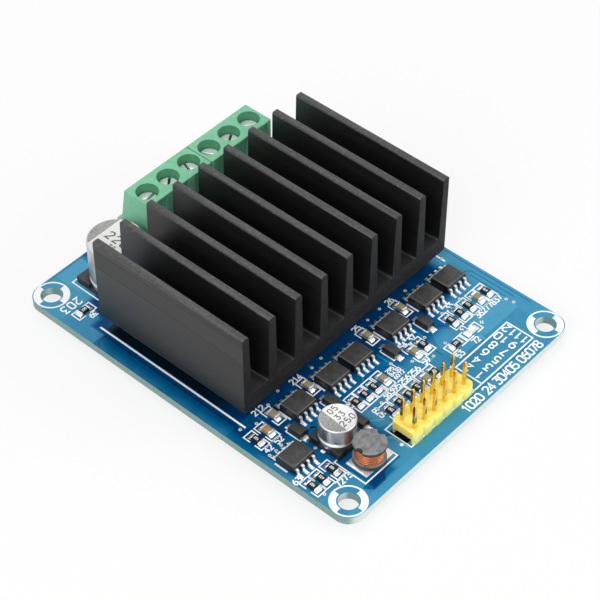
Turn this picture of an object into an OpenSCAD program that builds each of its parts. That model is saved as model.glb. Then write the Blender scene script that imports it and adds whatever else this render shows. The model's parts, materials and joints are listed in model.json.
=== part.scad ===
// Two channel motor driver module: a circuit board with a finned heatsink over its power
// transistors, two three-pole rising clamp terminal blocks, a pin header and small parts.
// Millimetres. X runs along the board's front edge, Y to its rear edge, Z up.
// The origin is under the board's middle, level with the tips of the solder tails.
// Places on the board are measured from the front left mounting hole's centre.

/* [Circuit board] */
// Width of the board, left edge to right edge
board_w = 57.5; // [57:0.5:70]
// Thickness of the board
board_t = 1.6; // [1:0.1:2.4]
// Radius of the board's corners
board_corner_r = 3; // [1:0.1:4]
// Distance from a mounting hole's centre to the two edges beside it
hole_inset = 3.25; // [3:0.05:4]
// Diameter of a mounting hole
mount_hole_d = 3.5; // [3:0.1:4]
// Reach of the solder tails below the board
tail_reach = 1.5; // [1.1:0.1:2.5]
// Height of a solder joint under the board
joint_h = 0.8; // [0.4:0.1:1]
// Radius of a solder joint where it meets the board
joint_r = 0.95; // [0.8:0.05:1.1]

/* [Rows across the board] */
// Gap between the header and the row of small parts behind it
header_row_gap = 1.48; // [1.2:0.02:4]
// Gap between that row and the next row of small parts
small_row_gap = 3.4; // [2.6:0.1:6]
// Gap between the second row and the leads of the driver chips
chip_row_gap = 2.3; // [1:0.1:4]
// Gap between the leads of the driver chips and the heatsink
sink_row_gap = 0.9; // [0.8:0.1:4]
// Gap between the heatsink and the terminal blocks
block_sink_gap = 3.3; // [2:0.1:8]
// Margin from the terminal blocks' foot to the board's rear edge
block_margin = 3.1; // [1:0.1:10]

/* [Heatsink] */
// Number of fins
fin_count = 9; // [7:1:9]
// Distance from one fin to the next
fin_pitch = 6.19; // [5.6:0.01:6.3]
// Thickness of a fin at its tip
fin_tip_t = 1.45; // [0.9:0.05:1.6]
// Thickness of a fin at its root
fin_root_t = 2.1; // [1.6:0.05:2.2]
// Height of the fins above the base plate
fin_h = 13.6; // [8:0.1:20]
// Thickness of the base plate
sink_base_t = 3.5; // [2:0.1:5]
// Length of the extruded section, front to rear
sink_d = 33.3; // [31:0.1:34]
// Radius of the hollow at a fin's foot
fin_fillet_r = 0.5; // [0.2:0.05:0.8]
// Radius of a fin's rounded tip edges
fin_tip_r = 0.35; // [0.1:0.05:0.4]
// Radius of the base plate's lower edges
sink_corner_r = 0.4; // [0.2:0.1:1.2]
// Depth of the two drawing lines along each outer face
line_depth = 0.07; // [0.05:0.01:0.2]
// Place of the heatsink's middle, along X
sink_x = 25.98; // [25:0.02:27]

/* [Power transistors] */
// Transistors in a row
transistor_columns = 4; // [2:1:4]
// Distance from one transistor to the next in a row
transistor_pitch = 11.6; // [9:0.1:12]
// Distance between the two rows' middles
transistor_row_gap = 17.4; // [15:0.1:18]
// Width of a transistor's body
transistor_w = 6.6; // [6:0.1:7]
// Length of a transistor's body
transistor_l = 6.1; // [5.5:0.1:6.5]
// Height of a transistor
transistor_h = 2.3; // [2:0.1:2.6]
// Distance between a transistor's leads
transistor_lead_pitch = 2.28; // [2:0.01:2.5]
// Reach of a transistor's leads past its body
transistor_lead_l = 2.7; // [2:0.1:3]
// Thickness of the heat conducting sheet on the transistors
pad_t = 0.5; // [0.3:0.1:1]
// Margin from the heatsink's edge to the sheet's edge
pad_margin = 2.4; // [1:0.1:3]

/* [Terminal blocks] */
// Distance from one pole to the next
pole_pitch = 5.08; // [5.08:0.01:5.2]
// Poles in each of the two blocks
poles = 3; // [2:1:3]
// Height of a block above the board
block_h = 14.4; // [13.8:0.1:17]
// Depth of a block at its top
block_top_d = 6.1; // [6.1:0.05:6.6]
// Depth of a block at its waist, where the leaning rear face ends
block_waist_d = 7.3; // [7:0.1:7.6]
// Depth of a block at its foot
block_foot_d = 8.5; // [8.2:0.1:10]
// Height of the shoulder over the wire entries
shoulder_z = 6.65; // [6.5:0.05:7.2]
// Gap between the two blocks
block_gap = 0.06; // [0.04:0.02:0.4]
// Thickness of the front wall
block_wall = 0.8; // [0.7:0.05:0.9]
// Thickness of the partition between two poles
partition_t = 0.88; // [0.7:0.02:1]
// Height of the clamp chamber's floor above the board
chamber_floor = 2; // [1.5:0.1:2.2]
// Diameter of the hole over a screw head
head_bore_d = 4.05; // [3.8:0.05:4.2]
// Depth of the hollow in the front face of each pole
recess_depth = 0.4; // [0.2:0.05:0.4]
// Width of the hollow in the front face of each pole
recess_w = 3.2; // [2:0.1:3.6]
// Gap between the bulk capacitor's base and the blocks
block_bulk_gap = 1.14; // [0.9:0.02:3]

/* [Clamp screws and cages] */
// Diameter of a screw's thread
thread_d = 2.5; // [2.3:0.1:2.6]
// Lift of the cage in one turn of its screw
thread_pitch = 0.45; // [0.4:0.05:0.45]
// Turns of the screw from open to closed
clamp_turns = 4; // [3:0.5:4]
// Diameter of a screw's head
head_d = 3.7; // [3.3:0.1:3.7]
// Height of a screw's head
head_h = 1.6; // [1:0.1:1.8]
// Width of the slot in a screw's head
slot_w = 0.5; // [0.4:0.05:0.8]
// Depth of the slot in a screw's head
slot_depth = 0.6; // [0.3:0.05:0.8]
// Thickness of the housing's ledge under a screw's head
ledge_t = 0.8; // [0.6:0.1:1]
// Free play of a cage in its chamber, each side
cage_play = 0.1; // [0.05:0.01:0.15]
// Free play of the thread in the cage, in radius
thread_play = 0.05; // [0.02:0.01:0.08]
// Thickness of a cage's side walls
cage_wall = 0.6; // [0.5:0.05:0.7]
// Thickness of a cage's floor
cage_floor_t = 0.7; // [0.5:0.05:0.9]
// Thickness of a cage's threaded top
cage_top_t = 1.4; // [1.1:0.1:1.6]
// Height of the wire space below the fixed bar, with the clamp open
wire_h = 3.4; // [2.9:0.1:3.5]
// Thickness of the fixed bar and its strip
strip_t = 0.5; // [0.4:0.05:0.5]
// Width of the fixed bar
bar_w = 2.2; // [1.8:0.1:2.4]
// Seat of the fixed bar's end in the housing
bar_seat = 0.6; // [0.4:0.1:1]
// Width of a contact's solder tail
tail_w = 1; // [0.8:0.05:1.1]

/* [Pin header] */
// Distance from one pin to the next
pin_pitch = 2.54; // [2.54:0.01:2.6]
// Pins in a row
pin_columns = 6; // [4:1:6]
// Rows of pins
pin_rows = 2; // [1:1:2]
// Side of a square pin
pin_w = 0.56; // [0.5:0.02:0.7]
// Height of the pins' tips above the board
pin_top = 7.75; // [7:0.05:9]
// Height of the plastic body
header_h = 2.54; // [2.2:0.02:3]
// Chamfer between two columns of the plastic body
header_chamfer = 0.5; // [0.2:0.05:0.7]
// Height of the slot under the plastic body
header_slot_h = 1; // [0.2:0.05:1.2]
// Width of the plastic body's foot on each side of the slot
header_foot_w = 0.8; // [0.5:0.05:1]
// Place of the first pin of the front row, along X
header_x = 16.74; // [16.5:0.1:17.5]
// Place of the first pin of the front row, along Y
header_y = 0.66; // [0.4:0.02:0.7]

/* [Chips and diodes] */
// Length of a chip's body, along its leads' row
chip_l = 4.9; // [4.7:0.1:5.1]
// Width of a chip's body, across its leads' rows
chip_w = 3.9; // [3.7:0.1:4.1]
// Height of a chip
chip_h = 1.75; // [1.35:0.05:1.9]
// Distance over both rows of a chip's leads
chip_span = 6; // [5.6:0.1:6.3]
// Distance from one lead to the next
lead_pitch = 1.27; // [1.2:0.01:1.3]
// Width of a lead
lead_w = 0.42; // [0.35:0.01:0.5]
// Thickness of a lead
lead_t = 0.2; // [0.15:0.01:0.25]
// Length of a diode's body
diode_l = 2.9; // [2.5:0.1:3]
// Width of a diode's body
diode_w = 1.8; // [1.4:0.1:1.9]
// Height of a diode
diode_h = 1.15; // [1:0.05:1.3]
// Distance over both of a diode's tabs
diode_span = 3.7; // [3.5:0.1:4]

/* [Small two ended parts] */
// Length of a chip resistor or capacitor
small_l = 2; // [1.8:0.1:2.2]
// Width of a chip resistor or capacitor
small_w = 1.25; // [1:0.05:1.4]
// Height of a chip resistor
resistor_h = 0.55; // [0.4:0.05:0.7]
// Height of a chip capacitor
capacitor_h = 0.9; // [0.6:0.05:1.2]
// Length of a metal end
end_l = 0.4; // [0.25:0.05:0.5]
// Step from a metal end down to the part's middle
end_step = 0.04; // [0.02:0.01:0.08]

/* [Can capacitors and inductor] */
// Place of the bulk capacitor's middle, along X
bulk_x = 10.25; // [8.5:0.05:12]
// Gap between the heatsink and the bulk capacitor's base
bulk_gap = 0.4; // [0.2:0.05:2]
// Place of the filter capacitor's middle, along X
filter_x = 8.25; // [7.5:0.05:8.4]
// Gap between the filter capacitor's base and the diode behind it
filter_gap = 0.6; // [0.3:0.05:2]
// Place of the inductor's middle, along X
inductor_x = 8.6; // [8:0.1:9]
// Gap between the inductor and the filter capacitor's base
inductor_gap = 0.45; // [0.1:0.05:0.6]
// Diameter of the bulk capacitor
bulk_d = 10; // [9:0.1:10.2]
// Height of the bulk capacitor
bulk_h = 10; // [8:0.1:13]
// Side of the bulk capacitor's base
bulk_base_w = 10.3; // [10.3:0.05:10.5]
// Diameter of the filter capacitor
filter_d = 6.3; // [5:0.1:6.4]
// Height of the filter capacitor
filter_h = 5.4; // [4:0.1:8]
// Side of the filter capacitor's base
filter_base_w = 6.5; // [6.5:0.05:6.6]
// Height of a capacitor's base corners
base_corner_h = 1.4; // [0.8:0.1:1.8]
// Thickness of a capacitor's base plate
base_plate_t = 0.5; // [0.3:0.1:0.7]
// Depth of the groove rolled into a can
can_groove = 0.35; // [0.15:0.05:0.5]
// Diameter of the inductor's two discs
inductor_d = 5.6; // [5:0.1:5.6]
// Height of the inductor
inductor_h = 4.5; // [3.3:0.1:4.9]
// Thickness of each disc of the inductor
disc_t = 0.85; // [0.5:0.05:0.9]
// Diameter of the inductor's inner post
post_d = 2.6; // [2:0.1:3]
// Diameter of the copper winding
winding_d = 4.9; // [4.4:0.1:5]
// Turns of wire that show on the winding
winding_turns = 6; // [4:1:8]
// Thickness of the inductor's plated feet
inductor_pad_t = 0.3; // [0.2:0.05:0.4]
// Thickness of a capacitor's solder tabs
tab_t = 0.2; // [0.15:0.05:0.3]
// Reach of a capacitor's solder tabs past its base
tab_reach = 0.5; // [0.3:0.05:0.6]

/* [Hidden] */
$fn = 64;
// Overrun of a cutting shape past the face that it opens
cut = 0.5;

// Lines of the rows, measured from the line of the front mounting holes
header_rear_y = header_y + (pin_rows - 0.5) * pin_pitch;
front_row_y = header_rear_y + header_row_gap + small_l / 2;
middle_row_y = front_row_y + small_row_gap + small_l;
chip_row_y = middle_row_y + small_l / 2 + chip_row_gap + chip_span / 2;
sink_front_y = chip_row_y + chip_span / 2 + sink_row_gap;
sink_y = sink_front_y + sink_d / 2;
blocks_y = sink_front_y + sink_d + block_sink_gap;
board_d = hole_inset + blocks_y + block_foot_d + block_margin;

hole_span_x = board_w - 2 * hole_inset;
hole_span_y = board_d - 2 * hole_inset;
board_top = tail_reach + board_t;

sink_w = (fin_count - 1) * fin_pitch + fin_tip_t;
sink_z = transistor_h + pad_t;
pin_hole_d = pin_w * sqrt(2) + 0.1;
tail_hole_d = norm([tail_w, strip_t]) + 0.2;

block_w = poles * pole_pitch - block_gap;
pole_count = 2 * poles;
screw_y = block_top_d / 2;
cage_front = block_wall + strip_t + cage_play;
cage_d = 2 * (screw_y - cage_front);
chamber_w = pole_pitch - partition_t;
chamber_rear = cage_front + cage_d + cage_play;
cage_w = chamber_w - 2 * cage_play;
wire_w = cage_w - 2 * cage_wall;
wire_z = chamber_floor + cage_floor_t;
bar_z = wire_z + wire_h;
bar_top = bar_z + strip_t;
cage_h = bar_top + 2 * cage_play + cage_top_t - chamber_floor;
cage_lift = thread_pitch * clamp_turns;
ledge_z = chamber_floor + cage_h + cage_lift + 2 * cage_play;
head_z = ledge_z + ledge_t;
bar_rear = chamber_rear + bar_seat;
// Place of the blocks' shared edge, along X
blocks_x = bulk_x + bulk_base_w / 2 + block_bulk_gap + poles * pole_pitch - block_gap / 2;
// Turn of each screw's slot with the clamps open
slot_angles = [8, 38, 72, 115, 30, 152];

// Places along X of what stands in each row
driver_chips_x = [9.1, 17.48, 23.35, 32.9, 41.7, 47.8];
diodes_x = [5.1, 13.4, 28.6, 37.3];
upper_capacitors_x = [5.2, 13.6, 28.7, 37.4];
middle_capacitors_x = [22.95, 31.1, 48.05];
middle_resistors_x = [16.2, 18.4, 20.65, 33.4, 40.9, 43.3, 45.6, 50.3];
front_resistors_x = [18.6, 20.9, 23.2, 25.4, 29.85];
left_resistors_x = [-1.6, 0.5, 3.05];

// Steps along Y from a row's line to the parts beside it
upper_step = 1.95;
left_pair_step = 0.45;
diode_step = 3.4;
regulator_step = 0.6;
left_step = 0.9;
lamp_step = 1.4;

diode_row_y = chip_row_y - diode_step;
left_pair_y = chip_row_y + left_pair_step;
lamp_row_y = front_row_y + lamp_step;
filter_y = diode_row_y - diode_span / 2 - filter_gap - filter_base_w / 2;
inductor_y = filter_y - filter_base_w / 2 - inductor_gap - inductor_d / 2;

// Places from the front left mounting hole, each [x, y]
bulk_spot = [bulk_x, sink_front_y + sink_d + bulk_gap + bulk_base_w / 2];
filter_spot = [filter_x, filter_y];
inductor_spot = [inductor_x, inductor_y];
driver_chip_spots = [for (x = driver_chips_x) [x, chip_row_y]];
regulator_chip_spot = [0.6, middle_row_y - regulator_step];
diode_spots = concat([for (x = diodes_x) [x, diode_row_y]], [[filter_x + 5.1, filter_y - 0.35]]);
capacitor_spots = concat(
    [[2, left_pair_y], [27.75, front_row_y]],
    [for (x = upper_capacitors_x) [x, chip_row_y + upper_step]],
    [for (x = middle_capacitors_x) [x, middle_row_y]]
);
resistor_spots = concat(
    [[-0.5, left_pair_y]],
    [for (x = left_resistors_x) [x, front_row_y - left_step]],
    [for (x = middle_resistors_x) [x, middle_row_y]],
    [for (x = front_resistors_x) [x, front_row_y]]
);
crosswise_resistor_spots = [[37.15, lamp_row_y], [1, bulk_spot.y - 0.85]];
led_spot = [41.4, lamp_row_y];

// Sets its children on the board's top, at a place from the front left mounting hole
module on_board(spot, turn = 0) {
    translate([spot.x - hole_span_x / 2, spot.y - hole_span_y / 2, board_top]) rotate(turn) children();
}

// Extrudes a section drawn in X and Z along Y, about y = 0
module along_y(length) {
    translate([0, length / 2, 0]) rotate([90, 0, 0]) linear_extrude(length) children();
}

// Extrudes a section drawn in Y and Z along X, about x = 0
module along_x(length) {
    translate([-length / 2, 0, 0]) rotate([90, 0, 90]) linear_extrude(length) children();
}

// Rectangle about the origin with round corners
module round_rectangle(w, d, r) {
    square([w - 2 * r, d], center = true);
    square([w, d - 2 * r], center = true);
    for (x = [-1, 1], y = [-1, 1]) translate([x * (w / 2 - r), y * (d / 2 - r)]) circle(r);
}

// Rectangle about the origin with its four corners cut off
module cut_rectangle(w, d, c) {
    polygon([
        [-w / 2 + c, -d / 2], [w / 2 - c, -d / 2], [w / 2, -d / 2 + c], [w / 2, d / 2 - c],
        [w / 2 - c, d / 2], [-w / 2 + c, d / 2], [-w / 2, d / 2 - c], [-w / 2, -d / 2 + c]
    ]);
}

// Moulded body: its sides lean in from a parting line at half height
module moulded_body(l, w, z0, h, lean) {
    mid = z0 + h / 2;
    intersection() {
        along_y(w) polygon([
            [-l / 2 + lean, z0], [l / 2 - lean, z0], [l / 2, mid],
            [l / 2 - lean, z0 + h], [-l / 2 + lean, z0 + h], [-l / 2, mid]
        ]);
        along_x(l) polygon([
            [-w / 2 + lean, z0], [w / 2 - lean, z0], [w / 2, mid],
            [w / 2 - lean, z0 + h], [-w / 2 + lean, z0 + h], [-w / 2, mid]
        ]);
    }
}

function pin_spots() = [
    for (row = [0:pin_rows - 1], column = [0:pin_columns - 1])
        [header_x + column * pin_pitch, header_y + row * pin_pitch]
];
function block_x(side) = blocks_x + side * poles * pole_pitch / 2;
function pole_x(i) = blocks_x + (i - (pole_count - 1) / 2) * pole_pitch;
function tail_spot(i) = [pole_x(i), blocks_y + block_wall + strip_t / 2];

module circuit_board() {
    color("steelblue") translate([0, 0, tail_reach]) difference() {
        linear_extrude(board_t) round_rectangle(board_w, board_d, board_corner_r);
        for (x = [-1, 1], y = [-1, 1])
            translate([x * hole_span_x / 2, y * hole_span_y / 2, -cut])
                cylinder(h = board_t + 2 * cut, d = mount_hole_d);
        translate([0, 0, -tail_reach - board_t - cut]) {
            for (spot = pin_spots()) on_board(spot) cylinder(h = board_t + 2 * cut, d = pin_hole_d);
            for (i = [0:pole_count - 1])
                on_board(tail_spot(i)) cylinder(h = board_t + 2 * cut, d = tail_hole_d);
        }
    }
}

// One fin's section on the base plate's top: thicker at its root, with round tip edges.
// An end fin stays upright and bare on its outer side, -1 for left and 1 for right.
module fin_section(outer_side) {
    left_root = outer_side == -1 ? fin_tip_t / 2 : fin_root_t / 2;
    right_root = outer_side == 1 ? fin_tip_t / 2 : fin_root_t / 2;
    polygon([
        [-left_root, -fin_fillet_r], [right_root, -fin_fillet_r], [right_root, 0],
        [fin_tip_t / 2, fin_h - fin_tip_r], [-fin_tip_t / 2, fin_h - fin_tip_r], [-left_root, 0]
    ]);
    translate([-fin_tip_t / 2 + fin_tip_r, fin_h - 2 * fin_tip_r])
        square([fin_tip_t - 2 * fin_tip_r, 2 * fin_tip_r]);
    for (side = [-1, 1])
        translate([side * (fin_tip_t / 2 - fin_tip_r), fin_h - fin_tip_r]) circle(fin_tip_r);
    if (outer_side != -1) translate([-left_root, 0]) mirror([1, 0]) fin_fillet();
    if (outer_side != 1) translate([right_root, 0]) fin_fillet();
}

// Hollow fillet in the corner of a fin's right side and the base plate
module fin_fillet() {
    difference() {
        translate([-fin_fillet_r / 2, -fin_fillet_r / 2]) square(1.5 * fin_fillet_r);
        translate([fin_fillet_r, fin_fillet_r]) circle(fin_fillet_r);
    }
}

// Section of the heatsink: a plate with rounded lower edges and a row of fins
module heatsink_section() {
    difference() {
        union() {
            translate([-sink_w / 2, sink_corner_r]) square([sink_w, sink_base_t - sink_corner_r]);
            translate([-sink_w / 2 + sink_corner_r, 0]) square([sink_w - 2 * sink_corner_r, sink_base_t]);
            for (side = [-1, 1])
                translate([side * (sink_w / 2 - sink_corner_r), sink_corner_r]) circle(sink_corner_r);
            for (i = [0:fin_count - 1])
                translate([(i - (fin_count - 1) / 2) * fin_pitch, sink_base_t])
                    fin_section(i == 0 ? -1 : i == fin_count - 1 ? 1 : 0);
        }
        for (side = [-1, 1], height = [0.6, 0.88])
            translate([side * sink_w / 2, sink_base_t + height * fin_h]) circle(line_depth, $fn = 4);
    }
}

module heatsink() {
    color("dimgray") on_board([sink_x, sink_y]) translate([0, 0, sink_z])
        along_y(sink_d) heatsink_section();
}

module thermal_pad() {
    color("lightgray") on_board([sink_x, sink_y])
        translate([0, 0, transistor_h + pad_t / 2])
            cube([sink_w - 2 * pad_margin, sink_d - 2 * pad_margin, pad_t], center = true);
}

// Power transistor with its leads towards -Y and its cooling tab towards +Y
module power_transistor() {
    tab_w = transistor_w - 1.4;
    tab_out = 1.1;
    frame_t = 0.5;
    exit_z = transistor_h / 2 - 0.2;
    foot_l = 1.1;
    body_front = -transistor_l / 2;
    tip = body_front - transistor_lead_l;
    moulded_body(transistor_w, transistor_l, 0, transistor_h, 0.15);
    translate([-tab_w / 2, 0, 0]) cube([tab_w, transistor_l / 2 + tab_out, frame_t]);
    for (x = [-transistor_lead_pitch, transistor_lead_pitch]) translate([x, 0, 0])
        along_x(0.75) polygon([
            [tip, 0], [tip + foot_l, 0], [body_front - 0.5, exit_z], [0, exit_z],
            [0, exit_z + frame_t], [body_front - 0.7, exit_z + frame_t],
            [tip + foot_l - 0.25, frame_t], [tip, frame_t]
        ]);
    along_x(0.75) polygon([
        [0, exit_z], [0, exit_z + frame_t], [body_front - 0.6, exit_z + frame_t], [body_front - 0.6, exit_z]
    ]);
}

module transistor(i) {
    row = i <= transistor_columns ? -1 : 1;
    column = (i - 1) % transistor_columns - (transistor_columns - 1) / 2;
    spot = [sink_x + column * transistor_pitch, sink_y + row * transistor_row_gap / 2];
    color("black") on_board(spot, row == 1 ? 180 : 0) power_transistor();
}

// Wire entry of one pole, wider at its mouth in the rear face than at the cage
module wire_entry() {
    mouth_w = wire_w + 2 * cage_wall - 0.2;
    inner = chamber_rear - cut;
    outer = block_foot_d + cut;
    intersection() {
        along_x(mouth_w) polygon([
            [inner, wire_z], [chamber_rear, wire_z], [outer, chamber_floor + 0.2],
            [outer, shoulder_z - 0.5], [chamber_rear, bar_z], [inner, bar_z]
        ]);
        linear_extrude(block_h) polygon([
            [-wire_w / 2, inner], [wire_w / 2, inner], [wire_w / 2, chamber_rear], [mouth_w / 2, outer],
            [-mouth_w / 2, outer], [-wire_w / 2, chamber_rear]
        ]);
    }
}

// Everything that is hollow in one pole of the housing
module pole_cavities() {
    translate([0, screw_y, head_z]) cylinder(h = block_h - head_z + cut, d = head_bore_d);
    translate([0, screw_y, ledge_z - cut]) cylinder(h = ledge_t + 2 * cut, d = thread_d + 2 * cage_play);
    translate([-chamber_w / 2, block_wall, chamber_floor])
        cube([chamber_w, chamber_rear - block_wall, ledge_z - chamber_floor]);
    translate([-bar_w / 2, chamber_rear - cut, bar_z]) cube([bar_w, bar_seat + cut, strip_t]);
    translate([-tail_w / 2, block_wall, -cut]) cube([tail_w, strip_t, chamber_floor + 2 * cut]);
    wire_entry();
    translate([-recess_w / 2, -cut, bar_top + 2])
        cube([recess_w, recess_depth + cut, block_h - bar_top - 2.4]);
}

module terminal_housing(side) {
    color("mediumaquamarine") on_board([block_x(side), blocks_y]) difference() {
        along_x(block_w) polygon([
            [0, 0], [block_foot_d, 0], [block_foot_d, shoulder_z],
            [block_waist_d, shoulder_z + (block_foot_d - block_waist_d) / 2],
            [block_top_d, block_h], [0, block_h]
        ]);
        for (i = [0:poles - 1]) translate([(i - (poles - 1) / 2) * pole_pitch, 0, 0]) pole_cavities();
    }
}

// Screw held by its head on the housing's ledge, with its tip on the fixed bar
module terminal_screw(i) {
    edge = 0.15;
    color("silver") on_board([pole_x(i), blocks_y + screw_y]) difference() {
        union() {
            translate([0, 0, bar_top]) cylinder(h = head_z - bar_top, d = thread_d);
            rotate_extrude() polygon([
                [0, head_z], [head_d / 2, head_z], [head_d / 2, head_z + head_h - edge],
                [head_d / 2 - edge, head_z + head_h], [0, head_z + head_h]
            ]);
        }
        translate([0, 0, head_z + head_h]) rotate(slot_angles[i])
            cube([head_d + cut, slot_w, 2 * slot_depth], center = true);
    }
}

// Closed metal loop with a threaded top: it rises on its screw and lifts the wire to the bar
module terminal_cage(i) {
    color("goldenrod") on_board([pole_x(i), blocks_y + screw_y]) translate([0, 0, chamber_floor])
        difference() {
            translate([0, 0, cage_h / 2]) cube([cage_w, cage_d, cage_h], center = true);
            translate([-wire_w / 2, -cage_d / 2 - cut, cage_floor_t])
                cube([wire_w, cage_d + 2 * cut, cage_h - cage_floor_t - cage_top_t]);
            translate([0, 0, cage_h - cage_top_t - cut])
                cylinder(h = cage_top_t + 2 * cut, d = thread_d + 2 * thread_play);
        }
}

// Fixed bar through the cage, bent down behind the front wall and out as a solder tail
module terminal_contact(i) {
    bend = strip_t / 2;
    taper = 0.2;
    color("tan") on_board([pole_x(i), blocks_y]) {
        along_x(bar_w) polygon([
            [block_wall, chamber_floor], [block_wall + strip_t, chamber_floor], [block_wall + strip_t, bar_z],
            [bar_rear, bar_z], [bar_rear, bar_top], [block_wall + bend, bar_top], [block_wall, bar_top - bend]
        ]);
        translate([0, block_wall + strip_t / 2, 0]) along_y(strip_t) polygon([
            [-tail_w / 2 + taper, -board_top], [tail_w / 2 - taper, -board_top],
            [tail_w / 2, -board_top + 2 * taper], [tail_w / 2, chamber_floor + bend],
            [-tail_w / 2, chamber_floor + bend], [-tail_w / 2, -board_top + 2 * taper]
        ]);
    }
}

// Row of moulded cells on two long feet, with a slot between the feet
module header_body() {
    body_d = pin_rows * pin_pitch;
    body_y = header_y + (pin_rows - 1) * pin_pitch / 2;
    slot_l = (pin_columns + 1) * pin_pitch;
    color("khaki") difference() {
        for (column = [0:pin_columns - 1]) on_board([header_x + column * pin_pitch, body_y])
            linear_extrude(header_h) cut_rectangle(pin_pitch, body_d, header_chamfer);
        on_board([header_x + (pin_columns - 1) * pin_pitch / 2, body_y])
            cube([slot_l, body_d - 2 * header_foot_w, 2 * header_slot_h], center = true);
        for (spot = pin_spots()) on_board(spot) cube([pin_w, pin_w, 3 * header_h], center = true);
    }
}

// Square pin with four slopes to each end
module header_pin() {
    tip = pin_w / 4;
    section = [
        [-tip, -board_top], [tip, -board_top], [pin_w / 2, -board_top + pin_w], [pin_w / 2, pin_top - pin_w],
        [tip, pin_top], [-tip, pin_top], [-pin_w / 2, pin_top - pin_w], [-pin_w / 2, -board_top + pin_w]
    ];
    intersection() {
        along_x(pin_w) polygon(section);
        along_y(pin_w) polygon(section);
    }
}

module header_pins() {
    color("gold") for (spot = pin_spots()) on_board(spot) header_pin();
}

// Lead that leaves a body at mid height and steps down to a flat foot, towards +Y
module gull_wing(body_half, tip) {
    exit_z = chip_h / 2;
    foot = tip - 0.55;
    along_x(lead_w) polygon([
        [body_half - 0.4, exit_z], [body_half + 0.25, exit_z], [foot - 0.08, 0], [tip, 0], [tip, lead_t],
        [foot + 0.08, lead_t], [body_half + 0.4, exit_z + lead_t], [body_half - 0.4, exit_z + lead_t]
    ]);
}

// Eight lead chip with a dimple over its first lead
module chip() {
    standoff = 0.1;
    difference() {
        moulded_body(chip_l, chip_w, standoff, chip_h - standoff, 0.14);
        translate([-chip_l / 2 + 0.8, -chip_w / 2 + 0.8, chip_h - 0.06]) cylinder(h = cut, d = 0.6);
    }
    for (turn = [0, 180], column = [-1.5:1.5])
        rotate(turn) translate([column * lead_pitch, 0, 0]) gull_wing(chip_w / 2, chip_span / 2);
}

module driver_chip(i) {
    color("darkslategray") on_board(driver_chip_spots[i - 1]) chip();
}

module regulator_chip() {
    color("darkslategray") on_board(regulator_chip_spot) chip();
}

// Diode body with a flat tab at each end, along Y
module diode(i) {
    tab_w = 0.9;
    tab_h = 0.25;
    color("darkslategray") on_board(diode_spots[i - 1]) {
        moulded_body(diode_w, diode_l, 0, diode_h, 0.1);
        translate([-tab_w / 2, -diode_span / 2, 0]) cube([tab_w, diode_span, tab_h]);
    }
}

// Drawn can: rolled groove near its foot and a rounded shoulder
module can(d, h) {
    r = d / 2;
    foot_z = base_plate_t;
    groove_z = base_corner_h + 0.3;
    shoulder_r = 0.35;
    rotate_extrude() {
        polygon([
            [0, foot_z], [r - can_groove, foot_z], [r, foot_z + can_groove], [r, groove_z],
            [r - can_groove, groove_z + can_groove / 2], [r - can_groove, groove_z + can_groove],
            [r, groove_z + 2 * can_groove], [r, h - shoulder_r], [r - shoulder_r, h - shoulder_r],
            [r - shoulder_r, h], [0, h]
        ]);
        intersection() {
            translate([r - shoulder_r, h - shoulder_r]) circle(shoulder_r);
            translate([r - shoulder_r, h - shoulder_r]) square(shoulder_r);
        }
    }
}

function tab_width(w) = w / 8;

// Plastic base with four raised corners round the can. The two corners at the positive
// tab's end, towards +X, are cut off.
module can_base(w, d) {
    corner = w / 6;
    difference() {
        linear_extrude(base_corner_h) polygon([
            [-w / 2, -w / 2], [w / 2 - corner, -w / 2], [w / 2, -w / 2 + corner],
            [w / 2, w / 2 - corner], [w / 2 - corner, w / 2], [-w / 2, w / 2]
        ]);
        translate([0, 0, base_plate_t]) cylinder(h = base_corner_h, d = d + 0.02);
        for (turn = [0, 90]) rotate(turn)
            translate([-w, -w / 5, base_plate_t]) cube([2 * w, w * 2 / 5, base_corner_h]);
        translate([-w, -tab_width(w) / 2, -cut]) cube([2 * w, tab_width(w), cut + tab_t]);
    }
}

// Two flat solder tabs in the groove under a capacitor's base, along X
module can_tabs(w) {
    inner = w / 8;
    for (turn = [0, 180]) rotate(turn)
        translate([inner, -tab_width(w) / 2, 0]) cube([w / 2 - inner + tab_reach, tab_width(w), tab_t]);
}

module bulk_capacitor_can() {
    color("silver") on_board(bulk_spot) can(bulk_d, bulk_h);
}

module bulk_capacitor_base() {
    color("black") on_board(bulk_spot, -90) can_base(bulk_base_w, bulk_d);
}

module filter_capacitor_can() {
    color("silver") on_board(filter_spot) can(filter_d, filter_h);
}

module filter_capacitor_base() {
    color("black") on_board(filter_spot) can_base(filter_base_w, filter_d);
}

module capacitor_tabs() {
    color("lightgray") {
        on_board(bulk_spot, -90) can_tabs(bulk_base_w);
        on_board(filter_spot) can_tabs(filter_base_w);
    }
}

// Two plated feet under the inductor, each reaching out past its disc
module inductor_pads() {
    foot_w = 4.4;
    foot_l = 2.2;
    reach = 0.5;
    color("lightgray") on_board(inductor_spot) for (side = [-1, 1])
        translate([side * (inductor_d / 2 + reach - foot_l / 2), 0, inductor_pad_t / 2])
            cube([foot_l, foot_w, inductor_pad_t], center = true);
}

// Ferrite spool: two discs on a post, the upper disc with a notch at each side
module inductor_core() {
    r = inductor_d / 2;
    edge = 0.15;
    notch_r = 0.65;
    color("gray") on_board(inductor_spot) difference() {
        rotate_extrude() polygon([
            [0, inductor_pad_t], [r, inductor_pad_t], [r, inductor_pad_t + disc_t],
            [post_d / 2, inductor_pad_t + disc_t], [post_d / 2, inductor_h - disc_t],
            [r, inductor_h - disc_t], [r, inductor_h - edge], [r - edge, inductor_h], [0, inductor_h]
        ]);
        for (side = [-1, 1]) translate([side * r, 0, inductor_h - disc_t - cut])
            cylinder(h = disc_t + 2 * cut, r = notch_r);
    }
}

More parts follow.
